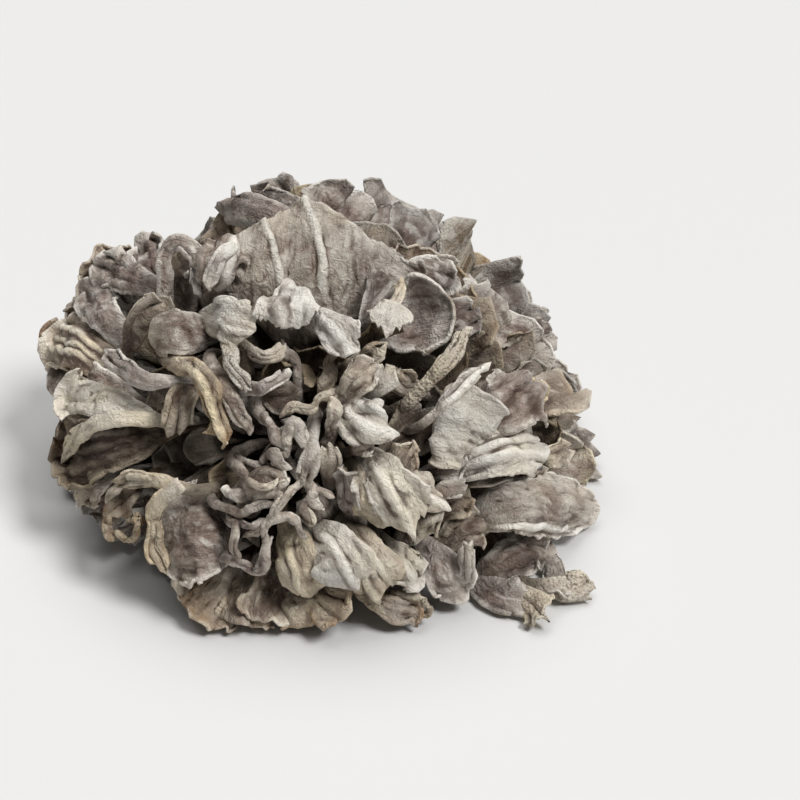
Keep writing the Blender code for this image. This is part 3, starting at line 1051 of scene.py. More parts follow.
@dataclass(frozen=True)
class DriedFlesh:
    """The finish of the fronds: dry grey-brown caps, cream undersides and pale thin rims.

    Args:
        cap_cool: the cap's usual colour where it is pinkish grey.
        cap_warm: the same where it is tan.
        cap_light: the cap's lighter patches.
        cap_dark: the darkest caps.
        crease_shade: painted shade in the bottoms of the folds and wrinkles.
        pores: the underside.
        pores_dark: the underside's darker bands.
        cream_cool: pale flesh on pinkish fronds, also used for the painted highlight on crests.
        cream_warm: pale flesh on tan fronds.
        rim_cool: the rim and pale ridges of pinkish fronds, partly their own colour and partly a
            painted highlight.
        rim_warm: the same for tan fronds.
        rust: the rusty margin.
        painted_shade: the painted shade that the colour of the deepest gaps is multiplied by.
        roughness: of the whole surface.
        specular: strength of its shine.
        relief: depth of the wrinkles and pores, in metres.
    """

    cap_cool: Colour = colour(139, 120, 111)
    cap_warm: Colour = colour(142, 124, 105)
    cap_light: Colour = colour(186, 171, 160)
    cap_dark: Colour = colour(78, 62, 55)
    crease_shade: Colour = colour(60, 42, 32)
    pores: Colour = colour(210, 198, 176)
    pores_dark: Colour = colour(134, 113, 88)
    cream_cool: Colour = colour(226, 222, 213)
    cream_warm: Colour = colour(224, 211, 183)
    rim_cool: Colour = colour(238, 233, 224)
    rim_warm: Colour = colour(228, 212, 178)
    rust: Colour = colour(146, 106, 62)
    painted_shade: Colour = (0.09, 0.066, 0.048, 1.0)
    roughness: float = 0.86
    specular: float = 0.22
    relief: float = 0.0007

    def material(self, name: str) -> bpy.types.Material:
        """Makes the material.

        Args:
            name: the material's name.

        Returns:
            The material.
        """
        made = bpy.data.materials.new(name)
        made.use_nodes = True
        ink = Ink(made.node_tree)
        shader = made.node_tree.nodes["Principled BSDF"]
        place = ink.node("ShaderNodeTexCoord").outputs["Object"]
        chart = ink.node("ShaderNodeUVMap", uv_map="grain").outputs[0]
        marks = ink.node("ShaderNodeAttribute", attribute_name="marks")
        tints = ink.node("ShaderNodeAttribute", attribute_name="tints")
        rim, margin, side = ink.parts(marks.outputs["Color"])
        dark, cream, ochre = ink.parts(tints.outputs["Color"])
        crease, depth = marks.outputs["Alpha"], tints.outputs["Alpha"]
        casts = ink.node("ShaderNodeAttribute", attribute_name="casts")
        own, warm, spongy = ink.parts(casts.outputs["Color"])
        ridge = casts.outputs["Alpha"]
        wrinkles = ink.node("ShaderNodeGroup", node_tree=wrinkle_group())
        ink.tree.links.new(chart, wrinkles.inputs["Chart"])
        ink.tree.links.new(place, wrinkles.inputs["Place"])
        pores = ink.node("ShaderNodeGroup", node_tree=pore_group())
        ink.tree.links.new(place, pores.inputs["Place"])
        lines, bands = wrinkles.outputs["Lines"], wrinkles.outputs["Bands"]
        blotch = ink.noise(place, 95.0, 5.0, 0.62, 0.9)
        mottle = ink.noise(place, 380.0, 4.0, 0.65, 0.4)
        light = ink.plus(ink.times(blotch, 0.6), ink.times(bands, 0.4))
        pale = ink.mix(ink.stretch(warm, 0.2, 0.9), self.cream_cool, self.cream_warm)
        hem = ink.mix(ink.stretch(warm, 0.35, 0.9), self.rim_cool, self.rim_warm)
        cap = ink.mix(warm, self.cap_cool, self.cap_warm)
        cap = ink.mix(ink.stretch(light, 0.36, 0.52), self.cap_dark, cap)
        cap = ink.mix(ink.stretch(light, 0.5, 0.66), cap, self.cap_light)
        cap = ink.mix(ink.times(ink.stretch(mottle, 0.5, 0.72), 0.35), cap, self.cap_dark)
        cap = ink.mix(ink.times(dark, 0.85), cap, self.cap_dark)
        cap = ink.mix(ink.times(ink.stretch(lines, 0.5, 0.7), 0.3), cap, self.cap_light)
        # painted highlight and shade: the cream patches gather on fold crests and fade in the folds
        crest_lit = ink.stretch(crease, 0.28, 0.7, 0.3, 1.0)
        creamy = ink.times(ink.stretch(bands, 0.3, 0.52, 0.4, 1.0), crest_lit)
        creamy = ink.plus(ink.times(creamy, 0.6), ink.times(cream, 0.42))
        cap = ink.mix(ink.times(cream, creamy, True), cap, pale)
        # painted shade in the creases of the fine wrinkles
        cap = ink.mix(ink.times(wrinkles.outputs["Creases"], 0.22), cap, self.crease_shade)
        below = ink.mix(ink.stretch(bands, 0.38, 0.6), self.pores_dark, self.pores)
        below = ink.mix(ink.times(dark, 0.6), below, self.cap_dark)
        flesh = ink.mix(side, cap, below)
        # painted shade in the folds, where the crease value is low
        hollow_shade = ink.stretch(crease, 0.14, 0.54, 1.0, 0.0)
        flesh = ink.mix(ink.times(hollow_shade, 0.8), flesh, self.crease_shade)
        # painted highlight on the fold crests
        crest_highlight = ink.times(ink.stretch(crease, 0.66, 0.92), ink.stretch(blotch, 0.4, 0.62, 0.05, 0.6))
        flesh = ink.mix(crest_highlight, flesh, pale)
        paled = ink.times(margin, ink.stretch(light, 0.4, 0.56, 0.1, 1.0), True)
        flesh = ink.mix(ink.times(paled, 0.85), flesh, pale)
        stain = ink.times(ink.stretch(blotch, 0.45, 0.6), ink.stretch(margin, 0.15, 0.55))
        rusty = ink.times(ochre, ink.plus(ink.times(stain, 0.7), margin), True)
        flesh = ink.mix(ink.times(rusty, 0.85), flesh, self.rust)
        # the rim's pale hem, partly its own colour and partly a painted highlight; the browned rims are real
        # rust
        edge = ink.times(rim, ink.stretch(mottle, 0.34, 0.56, 0.4, 1.0))
        edge = ink.times(edge, ink.stretch(blotch, 0.36, 0.56, 0.25, 1.0))
        browned = ink.times(ochre, ink.stretch(mottle, 0.44, 0.54), True)
        flesh = ink.mix(edge, flesh, ink.mix(browned, hem, self.rust))
        # painted highlight along the pale ridges
        flesh = ink.mix(ink.times(ridge, ink.stretch(mottle, 0.3, 0.5, 0.6, 1.0)), flesh, hem)
        holes = ink.times(pores.outputs["Pits"], spongy)
        flesh = ink.mix(ink.times(spongy, 0.4), flesh, pale)
        flesh = ink.mix(ink.times(holes, 0.55), flesh, self.pores_dark)
        own_light = ink.stretch(own, 0.0, 1.0, 0.68, 1.12)
        flesh = ink.node("ShaderNodeHueSaturation", {"Color": flesh, "Value": own_light}).outputs[0]
        # painted shade: deep and hidden places are multiplied towards the painted shade colour by the depth
        # channel
        painted_shade = ink.mix(1.0, flesh, self.painted_shade, "MULTIPLY")
        flesh = ink.mix(depth, flesh, painted_shade)
        pitted = ink.plus(ink.times(side, 0.5), spongy)
        pitted = ink.times(pores.outputs["Height"], pitted)
        height = ink.plus(wrinkles.outputs["Height"], pitted)
        bump = ink.node("ShaderNodeBump", {"Height": height, "Strength": 1.0, "Distance": self.relief})
        ink.tree.links.new(flesh, shader.inputs["Base Color"])
        ink.tree.links.new(bump.outputs[0], shader.inputs["Normal"])
        shader.inputs["Roughness"].default_value = self.roughness
        shader.inputs["Specular IOR Level"].default_value = self.specular
        return made


TAUPE, PALE_TAUPE, FAWN, LILAC, PLUM, UMBER, OLIVE, CREAM, HONEY, WHITE, CHALK, RUSTED = Tone


def strip(name: str, spine: tuple[Place, ...], width: float, *shape: float, **rest: object) -> Frond:
    """A frond whose rim and sides aren't rolled.

    Args:
        name: what it is called; its seed is worked out from it.
        spine: its places.
        width: greatest width in mm.
        shape: spread, heel, fill and corner, as far as they are given.
        rest: a frond's other settings.

    Returns:
        The frond.
    """
    return Frond(name, spine, width, *shape, curl=(0.9, 0.0), side_curl=0.0, **rest)


def worm(name: str, spine: tuple[Place, ...], width: float, tone: Tone) -> Frond:
    """A narrow finger whose sides close into a rod, with a kinked spine and blunt knobby end.

    Args:
        name: what it is called; its seed is worked out from it.
        spine: its places.
        width: of the sheet before it closes, in mm.
        tone: its colouring.

    Returns:
        The frond.
    """
    return strip(
        name, spine, 1.12 * width, 76, 0.8, 0.4, 0.35, wrap=(-190, -200), ruffle=(0.3, 2.0), lobes=(0.5, 2.0),
        crumple=2.3, rim_mm=1.0, root_mm=1.5, tone=tone, kink=2.2, knobby=3.6, cell=0.5,
    )


UPPER = (
    Frond("slab", ((298, 228, 0), (252, 210, 3), (211, 208, 1)), 10, 84, 0.8, 0.3, wrap=(-60, -80),
        curl=(0.8, -60), side_curl=-30, lobes=(0.3, 2), crumple=0.15, tone=LILAC, point=0, kink=0),
    Frond("slab_low", ((312, 218, -1), (284, 202, 1), (258, 195, 0)), 7, 80, 0.8, 0.3, wrap=(-60, -70),
        lobes=(0.3, 2), crumple=0.2, tone=LILAC, point=0, kink=0),
    Frond("canopy", ((298, 314, -9), (303, 260, 0), (306, 197, 8)), 60, 80, 0.5, 0.7, 0.62, wrap=(-20, -16),
        ruffle=(0.7, 2.5), curl=(0.96, -50), side_curl=-30, lobes=(1, 5), pleats=((-0.2, -0.38, 1.5, 0.5),
        (0.4, -0.02, 1.9, 0.75), (0.8, 0.42, 0.9, 1), (-0.7, -0.72, 0.8, 1)), crumple=0.5, rim_mm=0.8,
        root_mm=2.4, tone=PALE_TAUPE, cell=0.5, point=0.9, kink=0),
    Frond("ridge_frond", ((209, 290, -2), (216, 262, 6), (224, 228, 7)), 14, 80, 0.4, 0.6, wrap=(-40, -60),
        roll=(0, -10), ruffle=(1.6, 2.5), curl=(0.8, -90), side_curl=-60, pleats=((0.6, 0.7, 2.2, 1),)),
    strip("hanging_strip", ((236, 244, 8), (218, 262, 9), (208, 288, 5)), 4, 50, 0.8, 0.4, wrap=(-70, -70),
        root_mm=1.2, tone=WHITE, stalk=False),
    strip("fold", ((398, 254, -4), (376, 290, 0), (356, 333, -2)), 7, 50, 0.5, 0.5, 0.7, wrap=(-20, -20),
        ruffle=(0.4, 2), lobes=(0.4, 3), crumple=0.45, tone=PLUM, depth=0.25, stalk=False, point=0.9),
    Frond("behind_shell", ((420, 332, -14), (444, 300, -10), (468, 282, -10)), 22, 72, crumple=0.6),
    Frond("bowl", ((384, 326, -9), (420, 316, -6), (457, 308, 2)), 25, 88, 0.55, 0.5, wrap=(70, 110),
        ruffle=(0.5, 2), curl=(0.88, 90), side_curl=60, lobes=(0.3, 2), crumple=0.35, rim_mm=1.1,
        tone=LILAC, cell=0.6, point=0),
    Frond("hood_right", ((404, 292, -10), (420, 272, -3), (458, 284, -5)), 11, 70, 0.5, 0.6,
        wrap=(-90, -70), crumple=0.6, tone=PLUM),
    strip("porous_band", ((414, 396, -4), (444, 366, 3), (467, 328, 0)), 4.6, 40, 0.8, 0.4,
        wrap=(-100, -90), tone=PALE_TAUPE, porous=1),
    strip("sliver", ((434, 414, 1), (458, 390, 6), (485, 363, 5)), 3.4, 45, 0.7, 0.4, wrap=(-30, -30),
        roll=(30, 40), lobes=(0.6, 2), pleats=((0, 0, 1.3, 0.5),), tone=WHITE, point=0.8),
    strip("star_scrap", ((392, 302, 3), (388, 316, 5), (386, 336, 4)), 12, 82, 0.3, 0.6, 0.7,
        wrap=(-20, -20), ruffle=(0.5, 2), lobes=(2, 3), crumple=0.35, tone=CHALK, cell=0.5, stalk=False,
        point=0.6),
    Frond("star_point", ((388, 322, 2), (392, 306, 3), (404, 278, 2)), 3.4, 50, 0.7, wrap=(-50, -50),
        curl=(0.85, 0), lobes=(1, 3), tone=CREAM, stalk=False, point=0.9),
    Frond("round_end", ((440, 330, -9), (458, 322, -4), (474, 308, -4)), 11, 70, 0.5, 0.5, wrap=(-60, -60),
        tone=PLUM),
)

RIGHT = (
    Frond("right_fan", ((474, 428, -6), (508, 404, 2), (545, 382, 2)), 20, 76, 0.3, 0.7, wrap=(-20, -30),
        roll=(-20, -10), ruffle=(1.4, 3), curl=(0.88, -60), side_curl=30, lobes=(1.6, 3),
        pleats=((0.1, 0.2, 1.2, 1), (-0.4, -0.5, 1, 1.2)), crumple=0.7),
    Frond("cream_panel", ((502, 452, -4), (468, 430, 1), (432, 418, 2)), 22, 74, 0.6, 0.5, 0.2,
        wrap=(10, -10), ruffle=(1.2, 2.5), curl=(0.85, -90), side_curl=50, lobes=(0.8, 3),
        pleats=((0.1, 0.2, 1.3, 1), (-0.5, -0.5, 1.3, 1)), crumple=0.25, tone=CHALK),
    Frond("white_tongue", ((450, 470, -5), (500, 452, 3), (549, 444, 2)), 16, 66, 0.4, 0.6, wrap=(-30, -40),
        roll=(-25, -20), ruffle=(1, 3), curl=(0.9, -50), side_curl=30, lobes=(1.8, 4),
        pleats=((0.4, 0.3, 2.2, 0.8), (-0.2, -0.3, 2, 0.8), (0.1, 0.7, 1.6, 0.7)), tone=CHALK, cell=0.6),
    Frond("olive_strip", ((458, 482, -6), (500, 474, -1), (540, 468, -2)), 7, 50, 0.5, 0.5, roll=(-30, -30),
        tone=OLIVE),
    Frond("side_lobe", ((536, 466, -7), (552, 457, -2), (568, 452, -3)), 7, 62, 0.6, 0.5, tone=PALE_TAUPE),
    Frond("long_shell", ((462, 514, -8), (525, 506, 5), (594, 510, -3)), 19, 84, 0.3, 0.42, 0.62,
        wrap=(-70, -90), roll=(-8, 0), ruffle=(0.5, 2), curl=(0.94, 50), side_curl=40, lobes=(0.15, 2),
        pleats=((0.75, 0.66, 2.2, 0.6), (0.3, 0.25, 0.9, 0.6), (-0.1, -0.1, 0.9, 0.6),
        (-0.6, -0.5, 0.9, 0.6)), crumple=0.3, tone=PALE_TAUPE, cell=0.6, point=0, knobby=0.2),
    Frond("small_left_of_fan", ((420, 392, -8), (404, 382, -3), (392, 372, -2)), 8, 60, tone=OLIVE),
    Frond("pale_bits", ((520, 410, -6), (530, 396, -1), (542, 384, 0)), 8, 60, ruffle=(1.5, 2), tone=CREAM),
)

LOWER_RIGHT = (
    Frond("tucked_leaf", ((476, 580, -7), (514, 558, 1), (548, 548, -1)), 13, 70, 0.35, 0.6,
        wrap=(-40, -30), pleats=((0.1, 0, 1.2, 0.9),)),
    Frond("blunt_petal", ((472, 582, -6), (500, 600, 0), (530, 608, -1)), 13, 80, 0.35, 0.5,
        wrap=(-30, -50), curl=(0.85, -60), lobes=(0.3, 2), crumple=0.4, tone=LILAC, point=0),
    Frond("mitten", ((422, 543, -8), (446, 574, 0), (463, 599, -1)), 14, 70, 0.4, 0.6, wrap=(-50, -60),
        lobes=(0.8, 3), crumple=0.6, tone=LILAC),
    strip("mitten_finger", ((462, 592, -3), (468, 566, 3), (466, 540, 3)), 4.5, 40, 0.8, 0.4,
        wrap=(-70, -70), tone=WHITE),
    Frond("scrap_upper", ((540, 550, -9), (556, 572, -5), (560, 600, -5)), 7, 60, 0.6, 0.4, wrap=(-60, -50),
        side_curl=0, porous=0.5),
    Frond("scrap_lower", ((512, 590, -9), (532, 606, -5), (546, 622, -6)), 11, 66, 0.6, 0.5,
        wrap=(-60, -50), lobes=(1.6, 4), crumple=1.4, tone=PALE_TAUPE, porous=0.8),
    Frond("scrap_right", ((552, 590, -12), (574, 592, -8), (592, 580, -9)), 10, 66, 0.7, 0.4,
        wrap=(-70, -60), side_curl=0, lobes=(0.6, 3), tone=PALE_TAUPE, porous=0.9),
)

LOWER = (
    Frond("fan_left", ((286, 528, -6), (298, 560, 2), (310, 600, 1)), 15, 76, 0.35, 0.6, 0.4,
        wrap=(-30, -30), roll=(10, 20), ruffle=(0.8, 2), curl=(0.84, -70), side_curl=-30,
        pleats=((0.2, 0.25, 1.6, 0.7),), crumple=0.6, rim_mm=1.1, tone=CREAM, cell=0.6),
    Frond("white_fan", ((312, 528, -6), (336, 556, 5), (358, 592, 3)), 17, 78, 0.35, 0.6, 0.4,
        wrap=(-30, -30), roll=(0, 10), ruffle=(0.9, 2), curl=(0.84, -90), side_curl=-30, lobes=(1.4, 3),
        pleats=((-0.1, -0.1, 1.8, 0.8),), crumple=0.65, rim_mm=1.1, tone=CHALK, cell=0.6),
    Frond("white_hem", ((306, 584, -6), (330, 600, 1), (350, 606, 0)), 16, 74, 0.5, 0.6, 0.2,
        wrap=(-40, -30), ruffle=(2, 3), curl=(0.75, 110), side_curl=20, lobes=(0.6, 3), rim_mm=1.3,
        tone=HONEY),
    Frond("split_fan", ((342, 524, -6), (368, 560, 3), (390, 598, 1)), 15, 72, 0.35, 0.6, 0.4,
        wrap=(-30, -30), ruffle=(1.4, 2.5), curl=(0.82, -110), side_curl=-40, lobes=(1.6, 3),
        pleats=((0.2, 0.4, 1.9, 0.6), (-0.2, -0.3, 1.6, 0.6)), crumple=0.7, rim_mm=1.1, tone=CREAM),
    Frond("split_side", ((368, 530, -6), (394, 560, 1), (420, 586, 0)), 11, 66, 0.35, 0.6, wrap=(-40, -30),
        roll=(-20, -10), ruffle=(1.2, 2.5), curl=(0.85, 80), side_curl=30, lobes=(1.4, 3),
        pleats=((0.1, 0.1, 1.5, 0.5),), crumple=0.7, tone=WHITE),
    Frond("split_hem", ((362, 588, -4), (390, 606, 1), (426, 610, 1)), 8, 62, 0.7, 0.6, 0.3,
        wrap=(-90, -60), ruffle=(1.2, 3), curl=(0.8, 90), side_curl=0, lobes=(0.8, 3), rim_mm=1.1,
        tone=HONEY, knobby=2),
    worm("hem_curl", ((414, 598, 1), (426, 600, 3), (427, 612, 2), (416, 617, 1)), 2.2, CREAM),
    Frond("crumpled", ((366, 456, -5), (392, 488, 6), (417, 536, 4)), 15, 70, 0.45, 0.6, wrap=(-30, -20),
        ruffle=(0.8, 2), curl=(0.88, -50), side_curl=10, lobes=(2.4, 4), pleats=((0.1, 0.15, 2.4, 1),),
        crumple=0.6, tone=CHALK, cell=0.55, point=0.5),
    Frond("crumpled_right", ((384, 468, -6), (416, 488, 2), (448, 509, 2)), 12, 66, 0.4, 0.6, 0.6,
        wrap=(-30, -20), roll=(-30, -20), ruffle=(0.8, 2), curl=(0.86, -60), side_curl=20, lobes=(1.8, 4),
        pleats=((0, 0.1, 1.8, 0.7),), crumple=0.6, tone=PALE_TAUPE, cell=0.6, point=0.6),
    Frond("crumpled_left", ((352, 470, -5), (368, 496, 2), (390, 526, 1)), 13, 74, 0.4, 0.6,
        wrap=(-30, -30), roll=(20, 20), ruffle=(0.8, 2), curl=(0.86, -60), side_curl=20, lobes=(1.8, 4),
        crumple=0.65, tone=CREAM, cell=0.6),
    Frond("purple_side", ((358, 528, -6), (348, 496, 1), (345, 462, 3)), 8, 60, 0.5, 0.5, roll=(-30, -40),
        crumple=0.6, tone=LILAC),
    Frond("tip_right", ((400, 540, -6), (424, 520, 0), (446, 508, 1)), 11, 64, 0.4, 0.6, wrap=(-40, -40),
        tone=PALE_TAUPE),
    Frond("point", ((346, 402, -4), (368, 424, 4), (396, 434, 3)), 14, 64, 0.4, 0.6, 0.7, wrap=(-30, -30),
        ruffle=(1.8, 3), curl=(0.85, -60), side_curl=50, pleats=((0.1, 0.1, 2.4, 1),
        (-0.5, -0.5, 1.8, 0.8)), tone=WHITE, point=0.8),
    Frond("tongue", ((350, 450, -3), (362, 446, 3), (374, 440, 2)), 7, 50, wrap=(-60, -50)),
    Frond("olive_leaf", ((378, 484, -5), (398, 466, 1), (414, 442, 1)), 9, 60, roll=(0, -20), tone=OLIVE),
    # recess_brown sits deep and is darkened with painted shade by its depth
    Frond("recess_brown", ((384, 458, -12), (410, 436, -8), (432, 410, -8)), 16, 70, wrap=(50, 50),
        tone=UMBER, depth=0.5),
    Frond("purple_stripes", ((418, 478, -8), (442, 468, -2), (466, 458, -2)), 8, 55, wrap=(-50, -40),
        tone=PLUM),
    strip("tube_fold", ((420, 502, -5), (446, 490, 1), (468, 486, 0)), 6, 45, 0.7, wrap=(-130, -130)),
    Frond("grey_under", ((436, 548, -7), (462, 530, -2), (488, 518, -2)), 12, 64, wrap=(-30, -30)),
    Frond("brown_under", ((432, 518, -9), (452, 506, -4), (472, 498, -4)), 9, 60, tone=UMBER),
)

LOWER_LEFT = (
    strip("blade_edge", ((182, 484, 4), (157, 502, 4), (153, 535, 3), (166, 572, 3)), 5, 40, 0.8, 0.4,
        wrap=(-90, -90), crumple=1.3, root_mm=1.4, tone=CREAM, stalk=False, knobby=2.5),
    Frond("plum_blade", ((238, 534, -9), (198, 532, 2), (156, 538, -2)), 28, 84, 0.35, 0.5, wrap=(-30, -60),
        roll=(15, 10), ruffle=(1, 3), curl=(0.9, 80), side_curl=50, lobes=(0.6, 3), crumple=0.7, cell=0.6,
        point=0),
    strip("ring_curl", ((132, 484, -8), (120, 500, 0), (117, 520, 2)), 9, 60, 0.9, 0.5, 0.1,
        wrap=(-120, -140), ruffle=(0.4, 2), lobes=(0.5, 3), crumple=0.7, rim_mm=1, tone=OLIVE),
    worm("ring", ((108, 514, 3), (103, 526, 4), (114, 537, 4), (132, 535, 4), (139, 523, 4), (126, 514, 3)),
        2.4, RUSTED),
    strip("ring_lip", ((178, 488, 2), (148, 479, 4), (118, 484, 2)), 4.4, 50, 0.8, 0.4, wrap=(-90, -90),
        crumple=1.2, tone=CREAM, knobby=2),
    worm("left_knob", ((172, 566, -1), (180, 580, 2), (190, 600, 0)), 6, CREAM),
    Frond("ragged", ((232, 576, -7), (216, 602, 0), (200, 624, -3)), 17, 74, 0.5, 0.6, 0.3, wrap=(-40, -30),
        ruffle=(1, 2.5), curl=(0.86, 50), side_curl=0, lobes=(1.6, 4), rim_mm=1.2, tone=RUSTED),
    Frond("ragged_two", ((252, 580, -8), (246, 606, -1), (240, 628, -4)), 15, 74, 0.5, 0.6, 0.3,
        wrap=(-40, -30), ruffle=(1, 2.5), curl=(0.86, -50), side_curl=0, lobes=(1.2, 4), rim_mm=1.2,
        tone=OLIVE),
    Frond("dark_hem", ((284, 566, -9), (276, 600, -4), (276, 627, -5)), 19, 78, 0.4, 0.6, 0.3,
        wrap=(40, 50), ruffle=(1, 2.5), curl=(0.86, 50), side_curl=0, lobes=(1, 4), rim_mm=1.2, tone=UMBER),
    Frond("rust_hem", ((288, 592, -7), (302, 608, -1), (312, 622, -4)), 15, 74, 0.5, 0.6, 0.3,
        wrap=(-40, -30), ruffle=(1, 2.5), curl=(0.86, -50), side_curl=0, lobes=(0.8, 4), rim_mm=1.2,
        tone=HONEY),
)

LEFT = (
    Frond("dark_rear", ((134, 312, -18), (102, 280, -12), (78, 264, -13)), 26, 78, wrap=(-30, -30),
        ruffle=(1.6, 3), tone=UMBER),
    Frond("dark_low", ((114, 338, -16), (88, 318, -12), (63, 306, -13)), 15, 70, wrap=(-30, -30),
        tone=UMBER, depth=0.2),
    Frond("left_stripes", ((118, 376, -8), (84, 348, 1), (52, 336, -2)), 18, 78, 0.35, 0.6, 0.3,
        wrap=(-40, -60), roll=(10, 20), ruffle=(0.6, 3), curl=(0.86, 90), side_curl=20, lobes=(0.5, 3),
        pleats=((0.3, 0.4, 1.5, 0.6), (-0.1, 0, 1.3, 0.5), (-0.5, -0.4, 1.5, 0.6)), crumple=0.25,
        rim_mm=1.2, tone=UMBER),
    strip("left_rim", ((60, 322, 1), (48, 330, 3), (48, 350, 2), (58, 366, 1)), 4.4, 50, 0.8, 0.4,
        wrap=(-90, -90), root_mm=1.4, tone=RUSTED, stalk=False, knobby=2),
    Frond("tan_low", ((128, 398, -8), (92, 380, -2), (58, 366, -2)), 14, 74, 0.4, 0.6, wrap=(-20, -30),
        crumple=0.6),
    Frond("left_cream", ((150, 418, -5), (108, 402, 2), (62, 394, 1)), 11, 66, 0.4, 0.5, 0.3,
        wrap=(-20, -30), roll=(20, 20), ruffle=(1, 2), curl=(0.86, 100), side_curl=40, lobes=(0.8, 3),
        crumple=0.5, tone=CHALK),
    strip("umber_band", ((150, 420, -3), (112, 418, 3), (78, 434, 3), (63, 462, 1)), 5, 60, 0.8, 0.5, 0.4,
        wrap=(-40, -50), roll=(20, 20), ruffle=(0.6, 2), lobes=(0.4, 2), crumple=0.6, tone=CHALK,
        knobby=1.5),
    Frond("left_umber", ((158, 434, -8), (106, 448, 0), (61, 458, -1)), 21, 78, 0.3, 0.6, wrap=(30, 50),
        roll=(10, 10), ruffle=(1.2, 3), curl=(0.86, 110), side_curl=60, lobes=(0.8, 3),
        pleats=((0, 0.1, 1.2, 0.7), (0.5, 0.5, 1.3, 0.7), (-0.5, -0.5, 1.2, 0.7)), crumple=0.7, tone=UMBER,
        depth=0.55),
    Frond("left_teeth", ((118, 462, -7), (96, 480, -2), (82, 496, -3)), 10, 66, 0.4, lobes=(3.5, 3),
        tone=OLIVE),
    strip("left_roll", ((176, 380, 0), (140, 378, 5), (104, 354, 4)), 6.5, 60, 0.4, 0.6, 0.3,
        wrap=(-120, -100), roll=(10, 0), crumple=0.8, tone=LILAC, knobby=1.6),
    Frond("folded_strip", ((170, 362, 0), (204, 376, 6), (214, 410, 4), (230, 448, 2)), 6, 60, 0.8, 0.5,
        0.4, wrap=(-70, -90), ruffle=(1.6, 3), curl=(0.85, -60), side_curl=0, lobes=(0.6, 2),
        pleats=((0.2, 0.3, 2.2, 0.8),), tone=RUSTED, knobby=1.5),
    Frond("olive_fold", ((192, 376, -4), (178, 404, 1), (174, 438, -1)), 9, 60, 0.6, 0.5, wrap=(-60, -80),
        ruffle=(2, 3.5), curl=(0.85, -60), side_curl=-30, lobes=(0.8, 3), tone=OLIVE),
    Frond("round_blade", ((206, 332, -5), (176, 331, 4), (146, 333, 1)), 13, 86, 0.6, 0.4, wrap=(-30, -40),
        roll=(15, 10), ruffle=(0.4, 2), curl=(0.88, -80), side_curl=-40, lobes=(0.3, 2), crumple=0.35,
        cell=0.6, point=0),
    Frond("rosy", ((126, 344, -7), (104, 314, 1), (90, 290, -1)), 13, 76, 0.4, 0.6, wrap=(-40, -40),
        crumple=0.35, tone=LILAC),
    Frond("arch", ((128, 350, -5), (142, 318, 2), (172, 300, -1)), 9, 60, 0.5, wrap=(-60, -60), crumple=0.6,
        tone=UMBER),
    Frond("hood", ((184, 312, -8), (183, 276, -5), (182, 250, -4)), 9, 66, 0.8, 0.5, wrap=(40, 40),
        crumple=0.5, tone=UMBER, depth=0.6),
    strip("hood_band", ((165, 300, -3), (164, 268, 3), (171, 247, 6), (186, 243, 6), (198, 260, 3),
        (200, 298, -1)), 5.2, 40, 0.8, 0.4, wrap=(-90, -90), crumple=0.9, knobby=1.5),
    Frond("rumpled_top", ((158, 292, -8), (152, 266, -1), (146, 242, -2)), 12, 70, ruffle=(2, 3),
        crumple=0.9, tone=PLUM),
    Frond("tan", ((166, 292, -6), (130, 278, 1), (99, 266, -1)), 13, 74, wrap=(-30, -30), ruffle=(1.8, 4),
        crumple=0.4, tone=FAWN),
)

